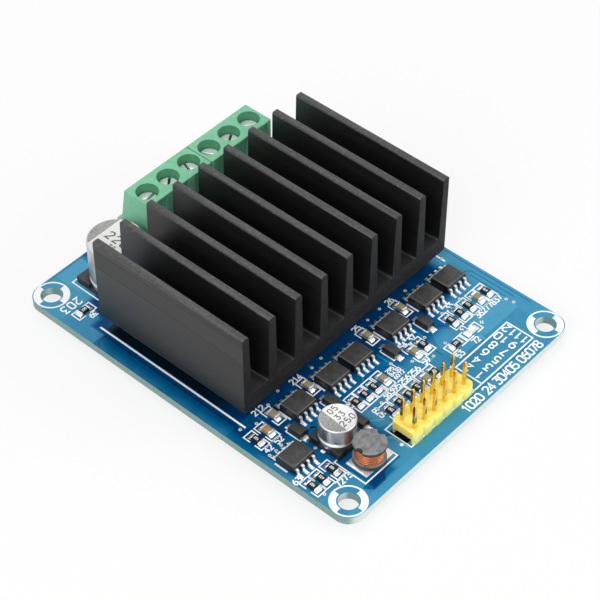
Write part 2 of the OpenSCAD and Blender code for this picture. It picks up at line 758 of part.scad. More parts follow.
// Copper winding between the discs, with the outer turns of wire showing as rings
module inductor_winding() {
    low = inductor_pad_t + disc_t;
    high = inductor_h - disc_t;
    wire_r = (high - low) / winding_turns / 2;
    color("chocolate") on_board(inductor_spot) rotate_extrude() {
        translate([post_d / 2, low]) square([winding_d / 2 - wire_r - post_d / 2, high - low]);
        for (i = [0:winding_turns - 1])
            translate([winding_d / 2 - wire_r, low + (2 * i + 1) * wire_r]) circle(wire_r);
    }
}

// Ceramic block with two metal ends, along Y
module two_ended(h) {
    translate([-small_w / 2 + end_step, -small_l / 2, 0])
        cube([small_w - 2 * end_step, small_l, h - end_step]);
    for (side = [-1, 1])
        translate([0, side * (small_l - end_l) / 2, h / 2]) cube([small_w, end_l, h], center = true);
}

module chip_capacitors() {
    color("tan") for (spot = capacitor_spots) on_board(spot) two_ended(capacitor_h);
}

module chip_resistors() {
    color("black") {
        for (spot = resistor_spots) on_board(spot) two_ended(resistor_h);
        for (spot = crosswise_resistor_spots) on_board(spot, 90) two_ended(resistor_h);
    }
}

// Lamp: a clear block on a two ended base
module indicator_led() {
    base_h = 0.3;
    lens_h = 0.8;
    lens_l = 1.3;
    color("white") on_board(led_spot, 90) {
        two_ended(base_h);
        translate([-small_w / 2 + end_step, -lens_l / 2, 0]) cube([small_w - 2 * end_step, lens_l, lens_h]);
    }
}

// Cones of solder under the board, each closed round a square pin or a flat tail
module solder_joints() {
    bottom = -board_t - joint_h;
    color("silver") {
        for (spot = pin_spots()) on_board(spot) difference() {
            translate([0, 0, bottom]) cylinder(h = joint_h, r1 = pin_w, r2 = joint_r);
            translate([0, 0, bottom]) cube([pin_w, pin_w, 4 * joint_h], center = true);
        }
        for (i = [0:pole_count - 1]) on_board(tail_spot(i)) difference() {
            translate([0, 0, bottom]) cylinder(h = joint_h, r1 = tail_w * 0.7, r2 = joint_r);
            translate([0, 0, bottom]) cube([tail_w, strip_t, 4 * joint_h], center = true);
        }
    }
}

circuit_board();
heatsink();
thermal_pad();
terminal_housing(-1);  // terminal_housing_left
terminal_housing(1);  // terminal_housing_right
for (i = [1:2 * transistor_columns])
    transistor(i);
for (i = [1:pole_count]) {
    terminal_screw(i - 1);
    terminal_cage(i - 1);
    terminal_contact(i - 1);
}
header_body();
header_pins();
regulator_chip();
for (i = [1:len(driver_chip_spots)])
    driver_chip(i);
for (i = [1:len(diode_spots)])
    diode(i);
bulk_capacitor_can();
bulk_capacitor_base();
filter_capacitor_can();
filter_capacitor_base();
capacitor_tabs();
inductor_core();
inductor_winding();
inductor_pads();
chip_capacitors();
chip_resistors();
indicator_led();
solder_joints();
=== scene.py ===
"""Looks for a two channel motor driver module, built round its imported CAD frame.

Lengths in the classes are millimetres, places on the board are measured from the front left
mounting hole, and every mesh is made in metres in the frame's own axes.
"""

import json
import logging
import math
from dataclasses import dataclass
from enum import Enum
from typing import Callable, Iterable, Sequence

import bmesh
import bpy
from mathutils import Matrix, Vector


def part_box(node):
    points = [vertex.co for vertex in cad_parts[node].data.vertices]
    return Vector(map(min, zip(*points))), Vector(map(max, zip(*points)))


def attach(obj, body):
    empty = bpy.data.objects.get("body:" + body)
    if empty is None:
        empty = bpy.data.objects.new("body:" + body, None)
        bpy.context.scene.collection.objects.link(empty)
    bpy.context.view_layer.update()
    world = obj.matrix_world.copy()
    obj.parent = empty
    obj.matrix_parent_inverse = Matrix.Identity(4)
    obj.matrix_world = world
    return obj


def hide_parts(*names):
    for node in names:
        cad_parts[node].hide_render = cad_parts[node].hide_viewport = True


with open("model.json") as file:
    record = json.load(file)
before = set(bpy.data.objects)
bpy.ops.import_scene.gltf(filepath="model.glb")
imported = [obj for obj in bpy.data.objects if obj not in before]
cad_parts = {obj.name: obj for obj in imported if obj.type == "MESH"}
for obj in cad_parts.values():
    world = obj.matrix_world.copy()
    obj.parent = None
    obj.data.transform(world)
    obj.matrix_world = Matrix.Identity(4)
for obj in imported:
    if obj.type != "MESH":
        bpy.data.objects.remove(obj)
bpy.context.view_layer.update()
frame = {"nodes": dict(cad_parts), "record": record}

MM = 0.001
ROOT = "module"
log = logging.getLogger("motor_driver_module")

HOLES = next(mount for mount in frame["record"]["mounts"] if mount["name"] == "board_holes")["dims"]
HOLE_SPAN = (HOLES["spacing_x_mm"], HOLES["spacing_y_mm"])
CHIPS = ("regulator_chip", *(f"driver_chip_{number}" for number in range(1, 7)))
DIODES = tuple(f"diode_{number}" for number in range(1, 6))
TRANSISTORS = tuple(f"transistor_{number}" for number in range(1, 9))

Point = tuple[float, float]
Colour = tuple[float, float, float]


def srgb(red: int, green: int, blue: int) -> Colour:
    """Turns an 8 bit display colour into the linear values that shaders take.

    Args:
        red: Red, 0 to 255.
        green: Green, 0 to 255.
        blue: Blue, 0 to 255.

    Returns:
        The three linear values.
    """

    def linear(value: float) -> float:
        """One channel, from display to linear."""
        value /= 255
        return value / 12.92 if value <= 0.04045 else ((value + 0.055) / 1.055) ** 2.4

    return linear(red), linear(green), linear(blue)


# Finishes


class Grain(Enum):
    """How a finish's fine pattern runs."""

    EVEN = (1.0, 1.0, 1.0)
    ALONG_Y = (1.0, 0.02, 1.0)
    ALONG_X = (0.02, 1.0, 1.0)


class NodeSheet:
    """A node tree, with short ways to add nodes and links to it."""

    def __init__(self, tree: bpy.types.NodeTree) -> None:
        """Takes the tree to add to."""
        self.tree = tree

    def node(self, kind: str, **settings: object) -> bpy.types.Node:
        """Adds a node and sets the given attributes on it.

        Args:
            kind: The node's type name.
            settings: Attributes and their values.

        Returns:
            The node.
        """
        made = self.tree.nodes.new(kind)
        for key, value in settings.items():
            setattr(made, key, value)
        return made

    def join(self, output: bpy.types.NodeSocket, target: bpy.types.NodeSocket) -> None:
        """Links an output to an input."""
        self.tree.links.new(output, target)

    def math(
        self, operation: str, first: object, second: object, clamp: bool = False
    ) -> bpy.types.NodeSocket:
        """A Math node on two sockets or numbers.

        Args:
            operation: The node's operation.
            first: A socket or a number.
            second: A socket or a number.
            clamp: Whether the result is held between 0 and 1.

        Returns:
            The result's output.
        """
        made = self.node("ShaderNodeMath", operation=operation, use_clamp=clamp)
        for value, target in zip((first, second), made.inputs):
            if isinstance(value, bpy.types.NodeSocket):
                self.join(value, target)
            else:
                target.default_value = value
        return made.outputs[0]


class ShaderSheet(NodeSheet):
    """A material's node tree with one Principled shader."""

    def __init__(self, name: str, roughness: float, metallic: float = 0.0) -> None:
        """Starts a material whose plain values sit on the shader's own sockets.

        Args:
            name: The material's name.
            roughness: The shader's roughness.
            metallic: 0 for plastic and coating, 1 for bare metal.
        """
        self.material = bpy.data.materials.new(name)
        self.material.use_nodes = True
        super().__init__(self.material.node_tree)
        self.shader = self.tree.nodes["Principled BSDF"]
        self.shader.inputs["Roughness"].default_value = roughness
        self.shader.inputs["Metallic"].default_value = metallic
        self.place = self.node("ShaderNodeTexCoord").outputs["Object"]

    def noise(self, per_mm: float, detail: float = 2.0, grain: Grain = Grain.EVEN) -> bpy.types.NodeSocket:
        """A noise pattern in the object's own space.

        Args:
            per_mm: Pattern cells in a millimetre.
            detail: Octaves of finer noise.
            grain: The direction that the pattern is drawn out in.

        Returns:
            The noise's factor output.
        """
        mapping = self.node("ShaderNodeMapping")
        mapping.inputs["Scale"].default_value = Vector(grain.value) * per_mm / MM
        texture = self.node("ShaderNodeTexNoise")
        texture.inputs["Scale"].default_value = 1.0
        texture.inputs["Detail"].default_value = detail
        self.join(self.place, mapping.inputs["Vector"])
        self.join(mapping.outputs["Vector"], texture.inputs["Vector"])
        return texture.outputs["Fac"]

    def ramp(self, value: bpy.types.NodeSocket, low: float, high: float) -> bpy.types.NodeSocket:
        """Goes smoothly from 0 at low to 1 at high; low may be the larger.

        Args:
            value: The socket to read.
            low: The value that gives 0.
            high: The value that gives 1.

        Returns:
            The result's output.
        """
        made = self.node("ShaderNodeMapRange", interpolation_type="SMOOTHSTEP")
        made.inputs["From Min"].default_value = low
        made.inputs["From Max"].default_value = high
        self.join(value, made.inputs["Value"])
        return made.outputs["Result"]

    def axis(self, index: int) -> bpy.types.NodeSocket:
        """The object's own X, Y or Z, in millimetres.

        Args:
            index: 0, 1 or 2 for X, Y or Z.

        Returns:
            The coordinate's output.
        """
        split = self.node("ShaderNodeSeparateXYZ")
        self.join(self.place, split.inputs[0])
        return self.math("MULTIPLY", split.outputs[index], 1 / MM)

    def facing(self, index: int) -> bpy.types.NodeSocket:
        """How far the surface faces the object's own X, Y or Z, from -1 to 1.

        Args:
            index: 0, 1 or 2 for X, Y or Z.

        Returns:
            The normal's part along that axis.
        """
        split = self.node("ShaderNodeSeparateXYZ")
        self.join(self.node("ShaderNodeTexCoord").outputs["Normal"], split.inputs[0])
        return split.outputs[index]

    def mix(self, amount: object, first: object, second: object) -> bpy.types.NodeSocket:
        """Mixes two colours.

        Args:
            amount: A socket, or a number from 0 to 1.
            first: The colour at 0, a socket or three values.
            second: The colour at 1, a socket or three values.

        Returns:
            The mixed colour's output.
        """
        made = self.node("ShaderNodeMix", data_type="RGBA")
        for value, target in ((amount, made.inputs[0]), (first, made.inputs[6]), (second, made.inputs[7])):
            if isinstance(value, bpy.types.NodeSocket):
                self.join(value, target)
            elif isinstance(value, tuple):
                target.default_value = (*value, 1.0)
            else:
                target.default_value = value
        return made.outputs[2]

    def bump(self, height: bpy.types.NodeSocket, depth_mm: float, strength: float = 1.0) -> None:
        """Raises the surface by a height pattern of the given depth.

        Args:
            height: The pattern.
            depth_mm: Its depth in millimetres.
            strength: The share of it that shows.
        """
        made = self.node("ShaderNodeBump")
        made.inputs["Strength"].default_value = strength
        made.inputs["Distance"].default_value = depth_mm * MM
        self.join(height, made.inputs["Height"])
        self.join(made.outputs["Normal"], self.shader.inputs["Normal"])

    def colour(self, output: bpy.types.NodeSocket) -> None:
        """Feeds the shader's base colour."""
        self.join(output, self.shader.inputs["Base Color"])

    def vary_roughness(self, pattern: bpy.types.NodeSocket, low: float, high: float) -> None:
        """Lets a pattern move the roughness between two values.

        Args:
            pattern: The pattern, from 0 to 1.
            low: The roughness at 0.
            high: The roughness at 1.
        """
        made = self.node("ShaderNodeMapRange")
        made.inputs["To Min"].default_value = low
        made.inputs["To Max"].default_value = high
        self.join(pattern, made.inputs["Value"])
        self.join(made.outputs["Result"], self.shader.inputs["Roughness"])


@dataclass(frozen=True)
class Moulded:
    """Moulded plastic, resin or ceramic: a mottled colour with a fine eroded skin."""

    name: str
    slot: str
    colour: Colour
    roughness: float = 0.45
    mottle: float = 0.12
    grain_per_mm: float = 9.0
    grain_depth: float = 0.01
    specular: float = 0.5

    def material(self) -> bpy.types.Material:
        """Makes the Blender material.

        Returns:
            The material.
        """
        sheet = ShaderSheet(self.name, self.roughness)
        sheet.shader.inputs["Specular IOR Level"].default_value = self.specular
        darker = tuple(value * (1 - self.mottle) for value in self.colour)
        lighter = tuple(min(1.0, value * (1 + self.mottle)) for value in self.colour)
        sheet.colour(sheet.mix(sheet.ramp(sheet.noise(1.1, 4.0), 0.3, 0.7), darker, lighter))
        fine = sheet.noise(self.grain_per_mm, 3.0)
        sheet.vary_roughness(fine, self.roughness - 0.06, self.roughness + 0.08)
        sheet.bump(fine, self.grain_depth, 0.5)
        return sheet.material


@dataclass(frozen=True)
class Metal:
    """Bare or plated metal with drawn or rolled streaks."""

    name: str
    slot: str
    colour: Colour
    roughness: float = 0.25
    streak: float = 0.1
    metallic: float = 1.0
    grain: Grain = Grain.EVEN
    grain_per_mm: float = 6.0
    grain_depth: float = 0.004

    def material(self) -> bpy.types.Material:
        """Makes the Blender material.

        Returns:
            The material.
        """
        sheet = ShaderSheet(self.name, self.roughness, self.metallic)
        streaks = sheet.noise(self.grain_per_mm, 3.0, self.grain)
        darker = tuple(value * (1 - 2 * self.streak) for value in self.colour)
        sheet.colour(sheet.mix(streaks, darker, self.colour))
        sheet.vary_roughness(streaks, self.roughness - 0.07, self.roughness + self.streak)
        sheet.bump(streaks, self.grain_depth, 0.6)
        return sheet.material


@dataclass(frozen=True)
class Anodised:
    """Black anodised extrusion: a deep coating with die streaks along its length, with bright specks painted
    in as glints.
    """

    name: str
    slot: str
    colour: Colour
    streak_and_sheen: Colour
    roughness: float = 0.42
    glints: float = 0.0
    specular: float = 0.5

    def material(self) -> bpy.types.Material:
        """Makes the Blender material.

        Returns:
            The material.
        """
        sheet = ShaderSheet(self.name, self.roughness)
        streaks = sheet.noise(2.6, 4.0, Grain.ALONG_Y)
        cloud = sheet.noise(0.12, 3.0)
        blend = sheet.math("MULTIPLY", sheet.ramp(streaks, 0.42, 0.7), cloud, clamp=True)
        # Bright specks: painted glints.
        painted_glints = sheet.math("MULTIPLY", sheet.ramp(sheet.noise(1.7, 4.0), 0.5, 0.72), self.glints)
        sheet.colour(sheet.mix(painted_glints, sheet.mix(blend, self.colour, self.streak_and_sheen), srgb(168, 168, 168)))
        sheet.vary_roughness(streaks, self.roughness - 0.06, self.roughness + 0.1)
        sheet.bump(sheet.noise(7.0, 3.0, Grain.ALONG_Y), 0.008, 0.5)
        sheet.shader.inputs["Specular IOR Level"].default_value = self.specular
        return sheet.material


@dataclass(frozen=True)
class PaleZone:
    """A part of the board where the mask looks paler.

    Each pair goes from where the zone starts to where it is full, in millimetres from the
    front left mounting hole, along X and along Y. A missing pair doesn't limit the zone.
    """

    share: float
    across: Point | None = None
    along: Point | None = None


@dataclass(frozen=True)
class SolderMask:
    """Glossy blue mask: deep beside the heatsink, paler by zones. The deep tone is partly painted shade
    between the parts, and the pale zones are partly copper under the mask and partly painted light where the
    board is lit brighter.
    """

    name: str
    slot: str
    deep: Colour
    middle: Colour
    pale: Colour
    lift: float = 0.0
    roughness: float = 0.24
    # Pale zones: partly copper under the mask, partly painted light where the board is lit brighter.
    zones: tuple[PaleZone, ...] = (
        PaleZone(0.14),
        PaleZone(0.46, along=(21.5, 13.0)),
        PaleZone(0.8, (11.5, 16.0), (16.0, 10.5)),
        PaleZone(0.9, (8.0, 11.0), (5.5, 3.0)),
        PaleZone(0.9, (36.0, 43.5), (19.5, 14.0)),
        PaleZone(1.0, (47.6, 51.4)),
        PaleZone(0.52, (-0.4, -3.0)),
        PaleZone(0.74, (-0.9, -2.4), (25.0, 13.0)),
        PaleZone(0.86, (-0.1, -0.9), (53.4, 54.4)),
        PaleZone(0.86, (2.6, 1.4), (56.0, 58.0)),
        PaleZone(1.0, (12.0, 9.0), (60.5, 62.5)),
        PaleZone(0.82, (-2.5, 4.5), (-0.4, -1.9)),
        PaleZone(0.98, (18.0, 14.0), (-0.4, -1.9)),
        PaleZone(0.84, (5.6, 4.4), (4.8, 3.4)),
        PaleZone(0.85, (5.0, -1.0), (1.0, -2.6)),
    )

    def material(self) -> bpy.types.Material:
        """Makes the Blender material.

        Returns:
            The material.
        """
        sheet = ShaderSheet(self.name, self.roughness)
        places = (
            sheet.math("ADD", sheet.axis(0), HOLE_SPAN[0] / 2),
            sheet.math("ADD", sheet.axis(1), HOLE_SPAN[1] / 2),
        )
        amount: object = 0.0
        for zone in self.zones:
            patch: object = zone.share
            for place, fade in zip(places, (zone.across, zone.along)):
                if fade is not None:
                    patch = sheet.math("MULTIPLY", sheet.ramp(place, *fade), patch)
            amount = sheet.math("MAXIMUM", amount, patch)
        weave = sheet.math("MULTIPLY", sheet.math("SUBTRACT", sheet.noise(0.5, 4.0), 0.5), 0.24)
        lifted = sheet.math("ADD", sheet.math("ADD", amount, weave), self.lift, clamp=True)
        lower = sheet.math("MULTIPLY", lifted, 2.0, clamp=True)
        upper = sheet.math("SUBTRACT", sheet.math("MULTIPLY", lifted, 2.0), 1.0, clamp=True)
        sheet.colour(sheet.mix(upper, sheet.mix(lower, self.deep, self.middle), self.pale))
        fine = sheet.noise(2.2, 3.0)
        sheet.vary_roughness(fine, self.roughness - 0.05, self.roughness + 0.08)
        sheet.bump(fine, 0.012, 0.5)
        sheet.shader.inputs["Specular IOR Level"].default_value = 0.34
        sheet.shader.inputs["Specular Tint"].default_value = (0.06, 0.5, 0.8, 1)
        sheet.shader.inputs["Coat Weight"].default_value = 0.03
        sheet.shader.inputs["Coat Roughness"].default_value = 0.05
        return sheet.material


@dataclass(frozen=True)
class GlassFibre:
    """The board's sawn edge: resin with layers of glass cloth; the front side is painted palest as painted
    light.
    """

    name: str
    slot: str
    resin: Colour
    glass: Colour
    front: Colour

    def material(self) -> bpy.types.Material:
        """Makes the Blender material.

        Returns:
            The material.
        """
        sheet = ShaderSheet(self.name, 0.6)
        layers = sheet.math("SINE", sheet.math("MULTIPLY", sheet.axis(2), 31.0), 0.0)
        torn = sheet.math("MULTIPLY", sheet.noise(3.0, 4.0), 0.9)
        pattern = sheet.math("ADD", sheet.math("MULTIPLY", layers, 0.25), torn, clamp=True)
        # Faces turned to -Y take the pale front colour: painted light on the lit front edge.
        side = sheet.ramp(sheet.facing(1), -0.6, -0.95)
        sheet.colour(sheet.mix(side, sheet.mix(pattern, self.resin, self.glass), self.front))
        sheet.bump(sheet.noise(5.0, 4.0), 0.05, 0.6)
        return sheet.material


@dataclass(frozen=True)
class PrintedTop:
    """A can's coated lid: pale, with a dotted grey segment on its negative side."""

    name: str
    slot: str
    pale: Colour
    grey: Colour
    centre: Point
    direction: Point
    chord: float

    def material(self) -> bpy.types.Material:
        """Makes the Blender material.

        Returns:
            The material.
        """
        sheet = ShaderSheet(self.name, 0.38)
        offset_x = sheet.math("SUBTRACT", sheet.axis(0), self.centre[0])
        offset_y = sheet.math("SUBTRACT", sheet.axis(1), self.centre[1])
        reach = sheet.math(
            "ADD",
            sheet.math("MULTIPLY", offset_x, self.direction[0]),
            sheet.math("MULTIPLY", offset_y, self.direction[1]),
        )
        segment = sheet.ramp(reach, self.chord - 0.04, self.chord + 0.04)
        dots = sheet.ramp(sheet.noise(5.0, 1.0), 0.4, 0.6)
        stipple = sheet.math("SUBTRACT", 1.0, sheet.math("MULTIPLY", dots, 0.34))
        sheet.colour(sheet.mix(sheet.math("MULTIPLY", segment, stipple), self.pale, self.grey))
        sheet.bump(sheet.noise(6.0, 2.0), 0.006, 0.4)
        return sheet.material


Finish = Moulded | Metal | Anodised | SolderMask | GlassFibre | PrintedTop

MASK = SolderMask("mask", "circuit_board", srgb(0, 40, 92), srgb(0, 94, 144), srgb(68, 146, 180))
POUR = SolderMask(
    "mask_over_copper", "circuit_board", srgb(0, 52, 106), srgb(6, 102, 150), srgb(80, 156, 190), 0.06
)
GAP = SolderMask(
    "mask_off_copper", "circuit_board", srgb(0, 30, 80), srgb(0, 66, 122), srgb(22, 108, 152), -0.08
)
# Painted shadow: dark mask beside the heatsink and under the header, fading to blue at the heatsink's front
# end.
SHADED = SolderMask(
    "mask_in_shade", "circuit_board", srgb(10, 20, 32), srgb(4, 32, 58), srgb(4, 50, 96),
    zones=(PaleZone(1.0, (5.0, 4.4), (34.0, 24.5)),),
)
TRACK = SolderMask(
    "mask_over_track", "circuit_board", srgb(0, 76, 140), srgb(22, 122, 176), srgb(96, 172, 202), 0.1
)
# The front colour is painted light on the board's lit front edge.
FIBRE = GlassFibre(
    "glass_fibre", "circuit_board", srgb(98, 134, 128), srgb(152, 178, 172), srgb(214, 224, 220)
)
INK = Moulded("legend_ink", "circuit_board", srgb(252, 255, 255), 0.5, 0.02, 6.0, 0.01)
TIN = Metal("tinned_pad", "tinned", srgb(240, 241, 241), 0.26, 0.1, 0.7)
VIA = Moulded("via_rim", "circuit_board", srgb(226, 218, 206), 0.35, 0.12, 6.0, 0.01)
SOLDER = Metal("solder", "solder", srgb(246, 247, 247), 0.16, 0.08, 0.85, grain_per_mm=3.0, grain_depth=0.03)
ANODISED = Anodised("black_anodised", "heatsink", srgb(17, 17, 17), srgb(30, 30, 30))
# Fin tips: a lighter anodised colour as a painted highlight, with painted glints.
FIN_TIP_HIGHLIGHT = Anodised("worn_fin_tip", "heatsink", srgb(44, 44, 44), srgb(84, 84, 84), 0.38, 0.12)
# Sawn ends: a few painted glints.
CUT_END = Anodised("sawn_anodised", "heatsink", srgb(14, 14, 14), srgb(30, 30, 30), 0.6, 0.04, 0.3)
PAD = Moulded("heat_sheet", "thermal_pad", srgb(150, 152, 156), 0.8, 0.08, 4.0, 0.03)
EPOXY = Moulded("moulded_epoxy", "chip", srgb(54, 54, 54), 0.48, 0.3, 11.0, 0.05)
# Chip and diode sides: near black as painted shade; the rounded top rim lighter as a painted highlight.
EPOXY_SHADE = Moulded("moulded_side", "chip", srgb(15, 14, 14), 0.4, 0.12, 11.0, 0.02)
EPOXY_HIGHLIGHT = Moulded("moulded_edge", "chip", srgb(84, 84, 83), 0.42, 0.16, 11.0, 0.02)
DIODE_EPOXY = Moulded("diode_epoxy", "diode", srgb(48, 45, 43), 0.48, 0.3, 11.0, 0.05)
DIODE_SHADE = Moulded("diode_side", "diode", srgb(17, 15, 14), 0.4, 0.12, 11.0, 0.02)
POWER_EPOXY = Moulded("power_epoxy", "transistor", srgb(36, 36, 37), 0.55, 0.1, 9.0, 0.02)
LEAD = Metal("tinned_lead", "tinned", srgb(252, 252, 252), 0.26, 0.06, 0.5)
GREEN = Moulded("green_housing", "terminal_housing", srgb(118, 190, 152), 0.42, 0.05, 7.0, 0.012)
# Bore walls: painted shade in the holes over the screws.
BORE_SHADE_GREEN = Moulded("green_bore", "terminal_housing", srgb(78, 146, 110), 0.5, 0.08, 7.0, 0.012)
# Joint: painted shade in the crack between the two housings.
JOINT_SHADE_GREEN = Moulded("green_joint", "terminal_housing", srgb(36, 76, 56), 0.6, 0.08, 7.0, 0.012)
SCREW = Metal("nickel_screw", "terminal_screw", srgb(255, 255, 255), 0.22, 0.06, 0.3, Grain.ALONG_X)
# Screw faces below the slot's floor level: painted shade.
SCREW_SLOT_SHADE = Metal("screw_slot", "terminal_screw", srgb(70, 72, 74), 0.5, 0.1, 0.5)
CAGE = Metal("nickel_cage", "terminal_cage", srgb(196, 194, 188), 0.3, 0.1)
CONTACT = Metal("tinned_contact", "terminal_contact", srgb(200, 196, 182), 0.3, 0.1)
YELLOW = Moulded("yellow_header", "header_body", srgb(255, 228, 106), 0.4, 0.12, 7.0, 0.03)
# The front side: painted light on the faces turned to the front.
YELLOW_LIT_FRONT = Moulded("yellow_front", "header_body", srgb(255, 248, 146), 0.38, 0.04, 7.0, 0.012)
GOLD = Metal("gilt_pin", "header_pins", srgb(244, 206, 110), 0.14, 0.08)
CAN = Metal("drawn_can", "capacitor_can", srgb(206, 206, 206), 0.36, 0.1, grain_per_mm=2.0)
BASE = Moulded("capacitor_base", "capacitor_base", srgb(26, 26, 27), 0.4, 0.1, 8.0, 0.012)
FERRITE = Moulded("ferrite", "ferrite", srgb(120, 120, 121), 0.6, 0.32, 5.0, 0.05)
# Ferrite sides: darker as painted shade.
FERRITE_SIDE_SHADE = Moulded("ferrite_side", "ferrite", srgb(58, 57, 57), 0.5, 0.4, 5.0, 0.05)
COPPER = Metal("copper_wire", "winding", srgb(226, 134, 86), 0.2, 0.16, 0.8)
# Copper between the turns: dark as painted shade.
COPPER_GROOVE_SHADE = Metal("copper_groove", "winding", srgb(84, 36, 20), 0.4, 0.2, 0.6)
CERAMIC = Moulded("capacitor_ceramic", "chip_capacitor", srgb(148, 138, 104), 0.5, 0.1, 7.0, 0.01)
AMBER_CERAMIC = Moulded("amber_ceramic", "chip_capacitor", srgb(172, 138, 90), 0.5, 0.1, 7.0, 0.01)
RESISTOR = Moulded("resistor_coat", "chip_resistor", srgb(15, 14, 15), 0.45, 0.12, 7.0, 0.01, 0.3)
LAMP = Moulded("lamp_resin", "led", srgb(255, 254, 244), 0.25, 0.02, 5.0, 0.008)
LAMP_BODY = Moulded("lamp_body", "led", srgb(240, 241, 238), 0.4, 0.03, 5.0, 0.008)


class FinishBook:
    """Makes each finish's material once."""

    def __init__(self) -> None:
        """Starts with no materials made."""
        self.made: dict[str, bpy.types.Material] = {}

    def material(self, finish: Finish) -> bpy.types.Material:
        """Returns the finish's material, making it at first use.

        Args:
            finish: The finish.

        Returns:
            Its material.
        """
        if finish.name not in self.made:
            self.made[finish.name] = finish.material()
        return self.made[finish.name]


BOOK = FinishBook()


# Mesh helpers


@dataclass(frozen=True)
class BoardPlane:
    """The board's top face, with places measured from the front left mounting hole."""

    origin: Vector
    span_x: float
    span_y: float

    @classmethod
    def from_frame(cls) -> "BoardPlane":
        """Takes the hole pattern, which is centred on the frame's origin, and the board's top.

        Returns:
            The plane.
        """
        span_x, span_y = HOLE_SPAN
        origin = Vector((-span_x * MM / 2, -span_y * MM / 2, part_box("circuit_board")[1].z))
        return cls(origin, span_x, span_y)

    def at(self, x: float, y: float, z: float = 0.0) -> Vector:
        """A place given in millimetres, as a point in the frame."""
        return self.origin + Vector((x, y, z)) * MM

    def place_of(self, point: Vector) -> Vector:
        """A point in the frame, as a place in millimetres."""
        return (point - self.origin) / MM


PLANE = BoardPlane.from_frame()
LEFT_POUR_EDGE = [(-0.72, 23.4), (-0.72, 53.9), (-1.6, 53.7), (-2.5, 53.2), (-3.1, 52.4)]


@dataclass(frozen=True)
class Extent:
    """A node's or one of its solids' box in the frame."""

    low: Vector
    high: Vector

    @property
    def middle(self) -> Vector:
        """The box's centre."""
        return (self.low + self.high) / 2

    @property
    def size(self) -> Vector:
        """The box's three lengths."""
        return self.high - self.low

    @property
    def place(self) -> Vector:
        """The box's centre as a place on the board, in millimetres."""
        return PLANE.place_of(self.middle)

    @property
    def long_axis(self) -> int:
        """0 for a part that lies along X, 1 along Y."""
        return 0 if self.size.x > self.size.y else 1


def joined_copy(node: str) -> bmesh.types.BMesh:
    """Copies a CAD node's mesh with its loose triangles joined.

    Args:
        node: The CAD node's name.

    Returns:
        The copy.
    """
    bm = bmesh.new()
    bm.from_mesh(frame["nodes"][node].data)
    bmesh.ops.remove_doubles(bm, verts=bm.verts, dist=0.001 * MM)
    return bm


def merged_copy(node: str) -> bmesh.types.BMesh:
    """Copies a CAD node's mesh with its triangles joined and its flat faces made whole.

    Args:
        node: The CAD node's name.

    Returns:
        The copy.
    """
    bm = joined_copy(node)
    bmesh.ops.dissolve_limit(bm, angle_limit=math.radians(0.5), verts=bm.verts, edges=bm.edges)
    return bm


def solids_of(node: str) -> list[Extent]:
    """Finds the box of each separate solid of a node, in a steady order.

    Args:
        node: The CAD node's name.

    Returns:
        One extent for each solid, sorted by place.
    """
    bm = joined_copy(node)
    unseen = set(bm.verts)
    found = []
    while unseen:
        stack = [unseen.pop()]
        group = []
        while stack:
            vert = stack.pop()
            group.append(vert.co.copy())
            for edge in vert.link_edges:
                other = edge.other_vert(vert)
                if other in unseen:
                    unseen.remove(other)
                    stack.append(other)
        low = Vector(min(co[i] for co in group) for i in range(3))
        high = Vector(max(co[i] for co in group) for i in range(3))
        found.append(Extent(low, high))
    bm.free()
    return sorted(found, key=lambda extent: (round(extent.low.y, 5), round(extent.low.x, 5)))


def extent_of(node: str) -> Extent:
    """The box of a whole node."""
    low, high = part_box(node)
    return Extent(low, high)


def sharp_edges(bm: bmesh.types.BMesh, angle: float) -> list[bmesh.types.BMEdge]:
    """Edges whose two faces turn by more than an angle in degrees."""
    limit = math.radians(angle)
    return [e for e in bm.edges if len(e.link_faces) == 2 and e.calc_face_angle(0.0) > limit]


def bevel(
    bm: bmesh.types.BMesh, width: float, segments: int = 2, angle: float = 35.0,
    edges: Iterable[bmesh.types.BMEdge] | None = None,
) -> None:
    """Rounds sharp edges.

    Args:
        bm: The mesh.
        width: The bevel's width in millimetres.
        segments: Faces across the bevel.
        angle: Edges sharper than this many degrees are rounded.
        edges: The edges to round, in place of all sharp ones.
    """
    chosen = sharp_edges(bm, angle) if edges is None else list(edges)
    bmesh.ops.bevel(
        bm, geom=chosen, offset=width * MM, offset_type="OFFSET", segments=segments, profile=0.5,
        affect="EDGES", clamp_overlap=True, material=-1,
    )


def smooth(bm: bmesh.types.BMesh, angle: float = 32.0) -> None:
    """Shades faces smooth, with edges sharper than an angle left crisp.

    Args:
        bm: The mesh.
        angle: The angle in degrees.
    """
    for face in bm.faces:
        face.smooth = True
    for edge in bm.edges:
        edge.smooth = len(edge.link_faces) == 2 and edge.calc_face_angle(0.0) < math.radians(angle)


def faces_of(verts: Iterable[bmesh.types.BMVert]) -> list[bmesh.types.BMFace]:
    """Every face that touches one of the vertices."""
    return list({face for vert in verts for face in vert.link_faces})


def paint(faces: Iterable[bmesh.types.BMFace], index: int) -> None:
    """Gives faces a material index."""
    for face in faces:
        face.material_index = index


def join_sections(
    bm: bmesh.types.BMesh, sections: Sequence[Sequence[bmesh.types.BMVert]], closed: bool
) -> None:
    """Joins four cornered sections into a strip, with end faces where it isn't closed.

    Args:
        bm: The mesh.
        sections: The corners of each section in turn.
        closed: Whether the last section meets the first.
    """
    following = [*sections[1:], sections[0]] if closed else sections[1:]
    faces = [
        bm.faces.new((first[k], first[(k + 1) % 4], second[(k + 1) % 4], second[k]))
        for first, second in zip(sections, following) for k in range(4)
    ]
    if not closed:
        faces += [bm.faces.new(sections[0]), bm.faces.new(sections[-1])]
    bmesh.ops.recalc_face_normals(bm, faces=faces)


